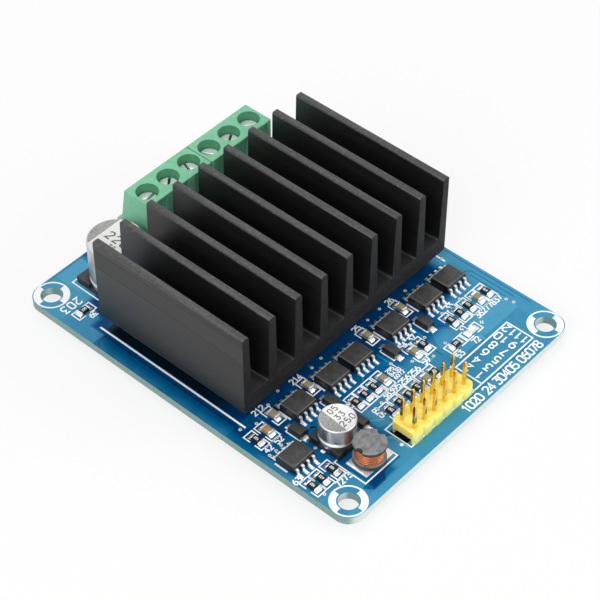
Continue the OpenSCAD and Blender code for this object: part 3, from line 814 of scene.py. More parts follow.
def add_box(
    bm: bmesh.types.BMesh, low: Vector, high: Vector, index: int = 0
) -> list[bmesh.types.BMVert]:
    """Adds a closed box between two corners.

    Args:
        bm: The mesh.
        low: The lowest corner.
        high: The highest corner.
        index: The material index of its faces.

    Returns:
        The box's corners.
    """
    size = high - low
    matrix = Matrix.Translation((low + high) / 2) @ Matrix.Diagonal((*size, 1.0))
    verts = bmesh.ops.create_cube(bm, size=1.0, matrix=matrix)["verts"]
    paint(faces_of(verts), index)
    return verts


def add_plate(bm: bmesh.types.BMesh, outline: Sequence[Point], low_z: float, high_z: float) -> None:
    """Adds a flat plate with an outline given in millimetres from the front left hole.

    Args:
        bm: The mesh.
        outline: The corners, anticlockwise from above.
        low_z: Height of the plate's underside above the board.
        high_z: Height of the plate's top above the board.
    """
    face = bm.faces.new([bm.verts.new(PLANE.at(x, y, low_z)) for x, y in outline])
    raised = bmesh.ops.extrude_face_region(bm, geom=[face])["geom"]
    moved = [item for item in raised if isinstance(item, bmesh.types.BMVert)]
    bmesh.ops.translate(bm, verts=moved, vec=(0, 0, (high_z - low_z) * MM))
    bmesh.ops.recalc_face_normals(bm, faces=faces_of([*moved, *face.verts]))


def add_ribbon(
    bm: bmesh.types.BMesh, places: Sequence[Point], width: float, low_z: float, high_z: float
) -> None:
    """Adds one flat ribbon along a line of places, mitred at its corners.

    Args:
        bm: The mesh.
        places: The middle line's corners on the board, in millimetres; a closed line ends
            where it starts.
        width: The ribbon's width.
        low_z: Height of its underside above the board.
        high_z: Height of its top above the board.
    """
    line = [Vector(place) for place in places]
    closed = (line[0] - line[-1]).length < 1e-6
    if closed:
        line.pop()
    count = len(line)
    rows = []
    for place, corner in enumerate(line):
        before = (corner - line[place - 1]).normalized() if place or closed else None
        onward = place < count - 1 or closed
        after = (line[(place + 1) % count] - corner).normalized() if onward else None
        into, out = before or after, after or before
        across = Vector((-into.y - out.y, into.x + out.x)).normalized()
        reach = min(width / 2 / max(across.dot(Vector((-into.y, into.x))), 0.3), width)
        rows.append([
            bm.verts.new(PLANE.at(*(corner + across * reach * side), z))
            for side, z in ((-1, low_z), (1, low_z), (1, high_z), (-1, high_z))
        ])
    join_sections(bm, rows, closed)


def add_disc(
    bm: bmesh.types.BMesh, centre: Point, radius: float, low_z: float, high_z: float,
    steps: int = 16, index: int = 0,
) -> None:
    """Adds a flat round plate on the board.

    Args:
        bm: The mesh.
        centre: The plate's centre, in millimetres.
        radius: Its radius.
        low_z: Height of its underside above the board.
        high_z: Height of its top above the board.
        steps: Faces round it.
        index: The material index of its faces.
    """
    middle = PLANE.at(centre[0], centre[1], (low_z + high_z) / 2)
    verts = bmesh.ops.create_cone(
        bm, cap_ends=True, segments=steps, radius1=radius * MM, radius2=radius * MM,
        depth=(high_z - low_z) * MM, matrix=Matrix.Translation(middle),
    )["verts"]
    paint(faces_of(verts), index)


def add_ring(
    bm: bmesh.types.BMesh, centre: Point, inner: float, outer: float, start: float, sweep: float,
    low_z: float, high_z: float,
) -> None:
    """Adds a flat ring, or a sector of one, on the board.

    Args:
        bm: The mesh.
        centre: The ring's centre, in millimetres.
        inner: Its inner radius.
        outer: Its outer radius.
        start: The angle it starts at, in degrees.
        sweep: The angle it covers, 360 for a whole ring.
        low_z: Height of its underside above the board.
        high_z: Height of its top above the board.
    """
    whole = sweep >= 360
    steps = max(6, round(sweep / 7.5))
    middle = PLANE.at(*centre)
    rows = []
    for step in range(steps if whole else steps + 1):
        turn = math.radians(start + sweep * step / steps)
        heading = Vector((math.cos(turn), math.sin(turn), 0))
        rows.append([
            bm.verts.new(middle + (heading * radius + Vector((0, 0, z))) * MM)
            for radius, z in ((inner, low_z), (outer, low_z), (outer, high_z), (inner, high_z))
        ])
    join_sections(bm, rows, whole)


def add_revolved(
    bm: bmesh.types.BMesh, foot: Vector, profile: Sequence[Point], steps: int = 72
) -> list[bmesh.types.BMFace]:
    """Adds a turned body from a profile of radius and height.

    Args:
        bm: The mesh.
        foot: The point under the body's axis, in the frame.
        profile: Radius and height of each point in millimetres, from bottom to top.
        steps: Faces round the body.

    Returns:
        The body's faces.
    """
    before = set(bm.faces)
    verts = [bm.verts.new(foot + Vector((r * MM, 0, z * MM))) for r, z in profile]
    edges = [bm.edges.new(pair) for pair in zip(verts, verts[1:])]
    bmesh.ops.spin(
        bm, geom=[*verts, *edges], cent=foot, axis=(0, 0, 1), angle=math.tau, steps=steps,
        use_merge=True, use_duplicate=False,
    )
    corners = list({v for f in bm.faces if f not in before for v in f.verts})
    bmesh.ops.remove_doubles(bm, verts=corners, dist=0.0005 * MM)
    faces = [f for f in bm.faces if f not in before]
    bmesh.ops.recalc_face_normals(bm, faces=faces)
    return faces


def finish_piece(
    name: str, bm: bmesh.types.BMesh, finishes: Sequence[Finish], body: str = ROOT,
    replaces: Sequence[str] = (),
) -> bpy.types.Object:
    """Turns a mesh into a finished piece at the origin that rides on a body.

    Args:
        name: The piece's name.
        bm: The mesh, which is freed.
        finishes: The finishes of its material indices.
        body: The body that it rides on.
        replaces: CAD nodes that it stands for.

    Returns:
        The new object.
    """
    mesh = bpy.data.meshes.new(name)
    bm.to_mesh(mesh)
    bm.free()
    for finish in finishes:
        mesh.materials.append(BOOK.material(finish))
    piece = bpy.data.objects.new(name, mesh)
    bpy.context.scene.collection.objects.link(piece)
    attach(piece, body)
    if replaces:
        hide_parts(*replaces)
    log.info("%s: %d faces", name, len(mesh.polygons))
    return piece


def dress_copy(
    node: str, finishes: Sequence[Finish], body: str = ROOT, width: float = 0.08, segments: int = 2,
    choose: Callable[[bmesh.types.BMFace], int] | None = None,
) -> bpy.types.Object:
    """Replaces a CAD node with its own shape, with rounded edges and finished faces.

    Args:
        node: The CAD node.
        finishes: The finishes that its faces may take.
        body: The body that it rides on.
        width: The edge rounding in millimetres, 0 for none.
        segments: Faces across the rounding.
        choose: Picks a face's finish by its place in finishes once the edges are rounded; each
            face takes the first where it is left out.

    Returns:
        The new object.
    """
    bm = merged_copy(node)
    if width > 0:
        bevel(bm, width, segments)
    if choose is not None:
        for face in bm.faces:
            face.material_index = choose(face)
    smooth(bm)
    return finish_piece(f"{node}_finished", bm, finishes, body, [node])


# Numbers and lines of the white legend


class Heading(Enum):
    """Which way a number reads on the board: the direction of writing, then of its tops."""

    FROM_FRONT = ((1.0, 0.0), (0.0, 1.0))
    FROM_RIGHT = ((0.0, 1.0), (-1.0, 0.0))
    FROM_LEFT = ((0.0, -1.0), (1.0, 0.0))
    FROM_REAR = ((-1.0, 0.0), (0.0, -1.0))


DIGIT_LINES = {
    "0": [[
        (0.14, 0), (0.46, 0), (0.6, 0.16), (0.6, 0.84), (0.46, 1), (0.14, 1), (0, 0.84), (0, 0.16), (0.14, 0),
    ]],
    "1": [[(0.1, 0.78), (0.34, 1), (0.34, 0)]],
    "2": [[(0, 0.8), (0.14, 1), (0.46, 1), (0.6, 0.84), (0.6, 0.64), (0, 0), (0.6, 0)]],
    "3": [[
        (0, 1), (0.58, 1), (0.27, 0.6), (0.42, 0.6), (0.6, 0.44), (0.6, 0.16), (0.46, 0), (0.12, 0),
        (0, 0.14),
    ]],
    "4": [[(0.44, 0), (0.44, 1), (0, 0.3), (0.34, 0.3)], [(0.54, 0.3), (0.66, 0.3)]],
    "5": [[
        (0.56, 1), (0.06, 1), (0.02, 0.56), (0.42, 0.6), (0.6, 0.44), (0.6, 0.16), (0.44, 0), (0.12, 0),
        (0, 0.14),
    ]],
    "6": [[
        (0.5, 1), (0.2, 0.86), (0, 0.5), (0, 0.16), (0.14, 0), (0.46, 0), (0.6, 0.16), (0.6, 0.42),
        (0.46, 0.58), (0.18, 0.58),
    ]],
    "7": [[(0, 1), (0.6, 1), (0.22, 0)]],
    "8": [
        [
            (0.14, 0.53), (0.46, 0.53), (0.6, 0.38), (0.6, 0.14), (0.46, 0), (0.14, 0), (0, 0.14), (0, 0.38),
            (0.14, 0.53),
        ],
        [
            (0.12, 0.64), (0.03, 0.74), (0.03, 0.87), (0.15, 1), (0.45, 1), (0.57, 0.87), (0.57, 0.74),
            (0.48, 0.64),
        ],
    ],
    "9": [[
        (0.1, 0), (0.4, 0.14), (0.6, 0.5), (0.6, 0.84), (0.46, 1), (0.14, 1), (0, 0.84), (0, 0.58),
        (0.14, 0.42), (0.42, 0.42),
    ]],
}
DIGIT_WIDTH = 0.6


@dataclass(frozen=True)
class NumberStyle:
    """Plain numbers drawn as ribbons; advance is the step from digit to digit, by their height."""

    height: float
    stroke: float
    heading: Heading
    low_z: float = 0.0
    high_z: float = 0.02
    advance: float = 0.88

    def write(self, bm: bmesh.types.BMesh, number: str, middle: Point) -> None:
        """Writes a number centred on a place.

        Args:
            bm: The mesh.
            number: The digits.
            middle: The number's centre on the board.
        """
        along, up = (Vector(part) for part in self.heading.value)
        advance = self.advance * self.height
        length = advance * (len(number) - 1) + DIGIT_WIDTH * self.height
        start = Vector(middle) - along * length / 2 - up * self.height / 2
        for place, digit in enumerate(number):
            corner = start + along * advance * place
            for line in DIGIT_LINES[digit]:
                places = [tuple(corner + (along * x + up * y) * self.height) for x, y in line]
                add_ribbon(bm, places, self.stroke, self.low_z, self.high_z)


@dataclass(frozen=True)
class Legend:
    """The pen of the white printing: its lines, ring marks and brackets."""

    thickness: float = 0.02
    line: float = 0.23
    box_line: float = 0.24
    list_line: float = 0.28
    chip_line: float = 0.34
    bold_line: float = 0.36
    ring_outer: float = 3.18
    ring_line: float = 0.3
    ring_inner: float = 1.98
    bracket_half_l: float = 1.98
    bracket_half_w: float = 0.98
    bracket_gap: float = 0.5

    def draw(self, bm: bmesh.types.BMesh, places: Sequence[Point], width: float) -> None:
        """Draws one line from place to place."""
        add_ribbon(bm, places, width, 0.0, self.thickness)

    def draw_beside(self, bm: bmesh.types.BMesh, node: str, steps: Sequence[Point], width: float) -> None:
        """Draws one line whose corners are given by their distance from a node's middle."""
        place = extent_of(node).place
        self.draw(bm, [(place.x + x, place.y + y) for x, y in steps], width)

    def frame_box(self, bm: bmesh.types.BMesh, low: Point, high: Point, width: float) -> None:
        """Draws a rectangle's outline."""
        self.draw(bm, [low, (high[0], low[1]), high, (low[0], high[1]), low], width)

    def hole_mark(self, bm: bmesh.types.BMesh, centre: Point) -> None:
        """Draws a ring round a mounting hole with two opposite quarters filled.

        Args:
            bm: The mesh.
            centre: The hole's centre.
        """
        rim = self.ring_outer - self.ring_line
        add_ring(bm, centre, rim, self.ring_outer, 0, 360, 0.0, self.thickness)
        for start in (90, 270):
            add_ring(bm, centre, self.ring_inner, rim - 0.001, start, 90, 0.0, self.thickness)

    def brackets(self, bm: bmesh.types.BMesh, part: Extent) -> None:
        """Draws the two open brackets round a two ended part.

        Args:
            bm: The mesh.
            part: The part's box.
        """
        half_l, half_w = self.bracket_half_l, self.bracket_half_w
        for side in (-1, 1):
            near, far = side * self.bracket_gap, side * half_l
            arms = [(-half_w, near), (-half_w, far), (half_w, far), (half_w, near)]
            if part.long_axis == 0:
                arms = [(y, x) for x, y in arms]
            self.draw(bm, [(part.place.x + x, part.place.y + y) for x, y in arms], self.line)


@dataclass(frozen=True)
class CircuitBoard:
    """The board: mask, sawn edge, copper under the mask, vias, pads and the white legend."""

    edge_round: float = 0.08
    copper: float = 0.012
    gap_w: float = 0.16
    gap_rise: float = 1.2
    track_w: float = 0.35
    track_rise: float = 1.5
    via_radius: float = 0.3
    via_rise: float = 0.03
    via_hole_radius: float = 0.105
    via_hole_rise: float = 0.035
    legend: Legend = Legend()

    def build(self) -> None:
        """Builds every piece of the bare board."""
        self.slab()
        self.copper_areas()
        self.bare_slots()
        self.copper_gaps()
        self.tracks()
        self.vias()
        self.printing()

    def slab(self) -> None:
        """The board itself: mask on both faces, pale fibre on its edges and hole walls."""
        dress_copy(
            "circuit_board", (MASK, FIBRE), width=self.edge_round, segments=1,
            choose=lambda face: 0 if abs(face.normal.z) > 0.5 else 1,
        )

    def lay(
        self, name: str, finish: Finish, areas: Sequence[Sequence[Point]],
        lines: Sequence[Sequence[Point]] = (), line_w: float = 0.0, line_rise: float = 0.0,
    ) -> None:
        """Lays areas and lines of copper, or of bare board, as one piece.

        Args:
            name: The piece's name.
            finish: The mask's finish over it.
            areas: Outlines of the areas, anticlockwise from above.
            lines: Middle lines of the lines.
            line_w: The lines' width.
            line_rise: The lines' height, by the copper's thickness.
        """
        bm = bmesh.new()
        for area in areas:
            add_plate(bm, area, 0.0, self.copper)
        for line in lines:
            add_ribbon(bm, line, line_w, 0.0, line_rise * self.copper)
        finish_piece(name, bm, (finish,))

    def copper_areas(self) -> None:
        """Areas of copper that show paler through the mask."""
        self.lay("copper_areas", POUR, [
            [(14.6, 6.4), (16.8, 4.9), (16.8, 9.6), (14.6, 10.4)],
            [
                (35, 10.4), (36.6, 13.2), (37.7, 13.2), (39.7, 11), (39.7, 9.9), (51.4, 9.9), (51.4, 6),
                (35, 6),
            ],
            [(-3.1, 23.4), *LEFT_POUR_EDGE],
            [(49, 22.3), (50.9, 22.3), (50.9, 60), (53.8, 60), (53.8, 63.8), (49, 63.8)],
            [(24.6, 15), (26.2, 13.6), (26.2, 11.2), (27.4, 11.2), (27.4, 15)],
            [(4.6, 20.6), (6.4, 22.4), (6.4, 23.6), (-0.4, 23.6), (-0.4, 22)],
            [(3.6, 64.5), (9.6, 64.5), (9.6, 70.4), (3.6, 70.4)],
        ])

    def bare_slots(self) -> None:
        """Dark mask painted as the shadow beside and under the heatsink and under the header."""
        header = extent_of("header_body")
        low, high = PLANE.place_of(header.low), PLANE.place_of(header.high)
        left, right, front, rear = low.x - 0.35, high.x - 0.1, 0.7, high.y - 0.1
        self.lay("bare_slots", SHADED, [
            [(0.62, 24.3), (4.4, 24.3), (4.4, 54.6), (0.62, 54.6)],
            [(left, front), (right, front), (right, rear), (left, rear)],
        ])

    def copper_gaps(self) -> None:
        """Gaps between areas of copper, which show darker."""
        corner = [
            (3.5, -0.3), (4.4, -1.6), (7.2, -1.6), (8.4, -0.3), (12.4, -0.3), (12.4, 0.05), (3.5, 0.05),
        ]
        lines = [
            [(50.9, 18.1), (51.9, 18.1), (52.7, 17.3), (52.7, 7.9)],
            [(51.75, 16.9), (51.75, 9.1)],
            [(34.2, 12.2), (36, 13.9), (38, 13.9), (40.1, 11.6), (40.1, 10.8)],
            [(35, 11.2), (33.9, 10.2), (33.9, 8.4)],
            LEFT_POUR_EDGE,
            [(1.2, 70.35), (12.5, 70.35)],
            [(3.6, 16.4), (3.6, 22.9)],
            [(6.9, 24), (1.6, 24), (1.6, 26)],
            [(27.8, -0.8), (46.4, -0.8)],
            [(53.6, 5), (53.6, 24)],
        ]
        self.lay("copper_gaps", GAP, [corner], lines, self.gap_w, self.gap_rise)

    def tracks(self) -> None:
        """Tracks under the mask between the chips, the header and the front parts."""
        lines = [
            [(29.4, 11.4), (31.6, 9.2), (32.7, 9.5)],
            [(26.6, 13.7), (26.6, 16.8)],
            [(14.4, 8.5), (16.6, 6.7)],
            [(17.2, 22.9), (17.2, 23.9)],
            [(0, 14.8), (0, 16.4), (3.2, 18.2), (3.2, 22.6), (6.3, 22.8)],
            [(9.6, 15.6), (9.6, 14.4), (14.6, 14.4), (15.1, 14.8)],
            [(20.6, 14.6), (21.4, 15.4), (24.6, 15.4)],
            [(35, 13.3), (35, 15.6)],
            [(41.3, 14.6), (41.3, 15.4)],
            [(46, 14.5), (46, 15.4)],
            [(6.9, 14.9), (8.2, 13.6)],
            [(7.4, 16), (7.4, 14.4), (9, 13)],
            [(30.4, 14.2), (30.4, 17.4), (29.9, 18.2)],
            [(13.6, 4.2), (14.6, 3.2), (14.6, -0.2)],
            [(41.5, 5.4), (41.5, 6.8)],
        ]
        self.lay("copper_tracks", TRACK, [], lines, self.track_w, self.track_rise)

    def vias(self) -> None:
        """Small plated holes, tented but for their rims, each with a dark disc painted as the shade in its
        hole.
        """
        places = [
            (-0.6, 22.6), (6.3, 22.8), (9.6, 23.7), (17.2, 22.9), (19.8, 23.2), (31.7, 23.1), (35, 23.3),
            (41.3, 22.8), (51.6, 23.1), (26.6, 13.7), (29.4, 11.4), (32.7, 9.5), (36.3, 9.9), (51.3, 8.6),
            (51.6, 7.2), (34.8, 15.4), (35, 13.3), (41.3, 14.6), (46, 14.5), (-1.5, 3.7), (4.6, 11),
            (2.1, 21.5), (-1.4, 15.4), (0, 15.3), (1.4, 15.5), (19, 9.3),
        ]
        bm = bmesh.new()
        for place in places:
            add_disc(bm, place, self.via_radius, 0.0, self.via_rise)
            # The dark disc in the hole: painted shade.
            add_disc(bm, place, self.via_hole_radius, 0.0, self.via_hole_rise, 10, 1)
        smooth(bm)
        finish_piece("vias", bm, (VIA, EPOXY_SHADE))

    def printing(self) -> None:
        """Every white line, ring and number on the board's top."""
        bm = bmesh.new()
        for x in (0.0, PLANE.span_x):
            for y in (0.0, PLANE.span_y):
                self.legend.hole_mark(bm, (x, y))
        self.sink_and_header_lines(bm)
        self.part_outlines(bm)
        self.numbers(bm)
        finish_piece("white_legend", bm, (INK,))

    def sink_and_header_lines(self, bm: bmesh.types.BMesh) -> None:
        """Lines beside the heatsink, round the header and round the list of pins.

        Args:
            bm: The legend's mesh.
        """
        legend = self.legend
        for x in (0.25, 51.5):
            legend.draw(bm, [(x, 22.2), (x, 55.8)], legend.bold_line)
        legend.frame_box(bm, (15, -0.35), (31.2, 5.15), legend.box_line)
        legend.frame_box(bm, (33.2, -0.35), (47.05, 5.15), legend.list_line)
        legend.draw(bm, [(31.2, -0.35), (33.2, -0.35)], legend.box_line)
        add_disc(bm, (14.35, 1.15), 0.34, 0.0, legend.thickness)

    def part_outlines(self, bm: bmesh.types.BMesh) -> None:
        """Brackets round the small parts and marks beside the chips, diodes, coil and can.

        Args:
            bm: The legend's mesh.
        """
        legend = self.legend
        for node in ("chip_capacitors", "chip_resistors", "indicator_led"):
            for solid in solids_of(node):
                legend.brackets(bm, solid)
        coil_box = [(-4.2, -2.8), (3.6, -2.8), (3.6, 3.75), (-4.2, 3.75), (-4.2, -2.8)]
        for nodes, steps, width in (
            (CHIPS, [(-2.68, -0.75), (-2.68, 1.95)], legend.chip_line),
            (DIODES, [(-0.7, -1.5), (-1.08, -1.5), (-1.08, 1.6), (-0.7, 1.6)], legend.line),
            (["inductor_core"], coil_box, legend.box_line),
            (["bulk_capacitor_base"], [(-5.75, -5.2), (-5.75, 5.7), (-2.8, 5.7)], legend.box_line),
            (["indicator_led"], [(2.4, 0), (3.2, 0)], legend.line),
            (["indicator_led"], [(2.8, -0.4), (2.8, 0.4)], legend.line),
        ):
            for node in nodes:
                legend.draw_beside(bm, node, steps, width)

    def numbers(self, bm: bmesh.types.BMesh) -> None:
        """Plain numbers: one for each header pin, one beside each part, and a row at the edge.

        Args:
            bm: The legend's mesh.
        """
        pin_number = NumberStyle(1.55, 0.28, Heading.FROM_RIGHT, advance=0.86)
        first_x, first_y, column_step, row_step = 34.5, 1.15, 2.27, 2.5
        for column in range(6):
            for row in range(2):
                middle = (first_x + column_step * column, first_y + row_step * row)
                pin_number.write(bm, str(2 * column + row + 1), middle)
        edge = NumberStyle(1.6, 0.3, Heading.FROM_FRONT, advance=0.72)
        small = NumberStyle(1.05, 0.24, Heading.FROM_FRONT, advance=0.8)
        fine = NumberStyle(0.68, 0.17, Heading.FROM_FRONT, advance=0.9)
        sideways = NumberStyle(1.0, 0.24, Heading.FROM_LEFT, advance=0.8)
        rear_big = NumberStyle(1.6, 0.28, Heading.FROM_REAR, advance=0.92)
        rear_small = NumberStyle(1.0, 0.24, Heading.FROM_REAR, advance=0.8)
        printed = {
            edge: {
                (28.9, -1.85): "1020", (33.2, -1.85): "24", (37.75, -1.85): "30405",
                (44.2, -1.85): "06078",
            },
            small: {
                (4.3, 23.2): "212", (13.45, 23.2): "214", (28.8, 23.2): "25", (37.5, 23.2): "26",
                (-0.5, 16.5): "42", (1.95, 16.5): "52", (-2.35, 8.7): "63", (2.75, 3.4): "7273",
                (36, 6.45): "53", (40.3, 6.45): "72", (40.9, 9.75): "31", (47.9, 9.75): "36277837",
                (43.4, 14.85): "33", (31.1, 14.85): "54", (33.4, 14.85): "37",
                (24.55, 9.72): "38395256256", (31, 9.75): "59",
            },
            fine: {(25.7, 12.95): "2951", (25.7, 12.05): "8430", (25.7, 11.15): "6072"},
            sideways: {(17.1, 8.25): "825", (14.9, 12.7): "53"},
            rear_big: {(0.5, 63.15): "203"},
            rear_small: {(1.6, 58.85): "39"},
        }
        for style, numbers in printed.items():
            for middle, number in numbers.items():
                style.write(bm, number, middle)


@dataclass(frozen=True)
class Heatsink:
    """The black anodised extrusion and the sheet under it."""

    edge_round: float = 0.16
    tip_band: float = 0.36
    pad_round: float = 0.1

    def build(self) -> None:
        """Dresses the extrusion with its sawn ends, its tips lighter as a painted highlight, and the heat
        conducting sheet.
        """
        bm = merged_copy("heatsink")
        tip_z = extent_of("heatsink").high.z - self.tip_band * MM
        for face in bm.faces:
            face.material_index = 1 if abs(face.normal.y) > 0.9 else 0
            # Faces in the band at the fin tips take the painted highlight.
            if face.material_index == 0 and face.calc_center_median().z > tip_z:
                face.material_index = 2
        ends = [
            e for e in sharp_edges(bm, 60) if sum(abs(f.normal.y) > 0.9 for f in e.link_faces) == 1
        ]
        bevel(bm, self.edge_round, 2, edges=ends)
        smooth(bm, 24)
        finish_piece("heatsink_finished", bm, (ANODISED, CUT_END, FIN_TIP_HIGHLIGHT), replaces=["heatsink"])
        dress_copy("thermal_pad", (PAD,), width=self.pad_round)


@dataclass(frozen=True)
class TerminalBlocks:
    """Two green housings, and in each pole a screw, a cage and a contact."""

    housing_round: float = 0.12
    screw_round: float = 0.1
    cage_round: float = 0.12
    contact_round: float = 0.06
    bore_r: float = 2.05
    joint_w: float = 0.13
    slot_floor: float = 0.3
    poles: int = 6

    def build(self) -> None:
        """Dresses the housings and the metal of every pole."""
        axes = [extent_of(f"terminal_screw_{pole}").middle.xy for pole in range(1, self.poles + 1)]
        joint = extent_of("terminal_housing_left").high.x

        def part_of_housing(face: bmesh.types.BMFace) -> int:
            """1 for the walls of the holes over the screws, darker as painted shade in the holes, 2 along the
            joint of the housings, darker as painted shade in the crack between them.

            Args:
                face: A face of a housing.

            Returns:
                Its finish's place.
            """
            centre = face.calc_center_median()
            if abs(centre.x - joint) < self.joint_w * MM:
                return 2
            near = min((centre.xy - axis).length for axis in axes) < self.bore_r * MM
            return int(near and abs(face.normal.z) < 0.3)

        for side in ("left", "right"):
            dress_copy(
                f"terminal_housing_{side}", (GREEN, BORE_SHADE_GREEN, JOINT_SHADE_GREEN), width=self.housing_round,
                choose=part_of_housing,
            )
        for pole in range(1, self.poles + 1):
            # Faces lower than the slot's floor level take dark metal as painted shade.
            head_z = extent_of(f"terminal_screw_{pole}").high.z - self.slot_floor * MM
            dress_copy(
                f"terminal_screw_{pole}", (SCREW, SCREW_SLOT_SHADE), f"screw_{pole}", self.screw_round,
                choose=lambda face, z=head_z: int(face.calc_center_median().z < z),
            )
            dress_copy(f"terminal_cage_{pole}", (CAGE,), f"cage_{pole}", self.cage_round)
            dress_copy(f"terminal_contact_{pole}", (CONTACT,), width=self.contact_round)


@dataclass(frozen=True)
class Header:
    """The yellow pin header."""

    body_round: float = 0.1
    pin_round: float = 0.05

    def build(self) -> None:
        """Dresses the body, with its front side painted lighter as painted light, and the pins."""
        dress_copy(
            "header_body", (YELLOW, YELLOW_LIT_FRONT), width=self.body_round,
            choose=lambda face: int(face.normal.y < -0.6),
        )
        dress_copy("header_pins", (GOLD,), width=self.pin_round, segments=1)


@dataclass(frozen=True)
class SolderPad:
    """A soldered pad under one lead, with its reach before and behind the lead's tip."""

    width: float
    height: float
    reach: float
    back: float
    top_share: float = 0.6

    def lay(self, bm: bmesh.types.BMesh, x: float, extent: Extent, side: int) -> None:
        """Lays the pad.

        Args:
            bm: The mesh.
            x: The lead's middle, in metres.
            extent: The part's box.
            side: 1 for a lead at the part's rear, -1 at its front.
        """
        tip = extent.high.y if side > 0 else extent.low.y
        front, rear = sorted((tip + side * self.reach * MM, tip - side * self.back * MM))
        half = self.width / 2 * MM
        low = Vector((x - half, front, extent.low.z))
        high = Vector((x + half, rear, extent.low.z + self.height * MM))
        slope_top(add_box(bm, low, high), Vector((x, (front + rear) / 2, 0)), self.top_share)


@dataclass(frozen=True)
class LeadedParts:
    """Chips, diodes and power transistors: moulded bodies with tinned leads."""

    chip_half: float = 1.97
    diode_half: float = 1.47
    transistor_half: float = 3.07
    transistor_shift: float = 0.8
    edge_w: float = 0.13
    lead_pitch: float = 1.27
    lead_columns: tuple[float, ...] = (-1.5, -0.5, 0.5, 1.5)
    chip_pad: SolderPad = SolderPad(0.62, 0.08, 0.45, 0.75)
    diode_pad: SolderPad = SolderPad(1.2, 0.16, 0.5, 0.6)

    def build(self) -> None:
        """Dresses every leaded part and lays the pads and solder under the leads."""
        pads = bmesh.new()
        for node in CHIPS:
            extent = extent_of(node)
            self.dress(node, (EPOXY, LEAD, EPOXY_SHADE, EPOXY_HIGHLIGHT), extent.middle.y, self.chip_half)
            for side in (-1, 1):
                for column in self.lead_columns:
                    x = extent.middle.x + column * self.lead_pitch * MM
                    self.chip_pad.lay(pads, x, extent, side)
        for node in DIODES:
            extent = extent_of(node)
            self.dress(node, (DIODE_EPOXY, LEAD, DIODE_SHADE), extent.middle.y, self.diode_half)
            for side in (-1, 1):
                self.diode_pad.lay(pads, extent.middle.x, extent, side)
        smooth(pads)
        finish_piece("chip_pads", pads, (SOLDER,))
        for node in TRANSISTORS:
            middle_y = extent_of(node).middle.y
            leads_to_front = middle_y < extent_of("heatsink").middle.y
            shift = self.transistor_shift if leads_to_front else -self.transistor_shift
            self.dress(node, (POWER_EPOXY, LEAD), middle_y + shift * MM, self.transistor_half)

    def dress(self, node: str, finishes: Sequence[Finish], body_y: float, half: float) -> None:
        """Dresses one part: epoxy within its body's half width of a line, tin outside it.

        Args:
            node: The CAD node.
            finishes: The body's top, the leads, and then, where given, the body's sides, near black as
            painted shade, and the rounding along its top edges, lighter as a painted highlight.
            body_y: The body's middle line, in metres.
            half: Half the body's width across its leads, in millimetres.
        """
        bm = merged_copy(node)
        top = max(vert.co.z for vert in bm.verts)
        # Faces outside the body's width are leads; the body's sides take a near black finish as painted
        # shade.
        for face in bm.faces:
            if abs(face.calc_center_median().y - body_y) > half * MM:
                face.material_index = 1
            elif len(finishes) > 2 and face.normal.z < 0.5:
                face.material_index = 2
        rim = [
            e for e in sharp_edges(bm, 35)
            if all(vert.co.z > top - 0.01 * MM for vert in e.verts) and e.calc_length() > MM
        ]
        bevel(bm, self.edge_w, 2, edges=rim)
        # The rounded top rim takes a lighter epoxy as a painted highlight.
        if len(finishes) > 3:
            for face in bm.faces:
                if 0.3 < face.normal.z < 0.97 and face.calc_center_median().z > top - 0.2 * MM:
                    face.material_index = 3
        smooth(bm)
        finish_piece(f"{node}_finished", bm, finishes, replaces=[node])


def slope_top(verts: Sequence[bmesh.types.BMVert], middle: Vector, share: float) -> None:
    """Draws a box's top corners in towards its middle, as solder draws in.

    Args:
        verts: The box's corners.
        middle: The point that they are drawn to, seen from above.
        share: How much of their distance they keep.
    """
    top = max(vert.co.z for vert in verts)
    for vert in verts:
        if vert.co.z > top - 1e-7:
            vert.co.x = middle.x + (vert.co.x - middle.x) * share
            vert.co.y = middle.y + (vert.co.y - middle.y) * share


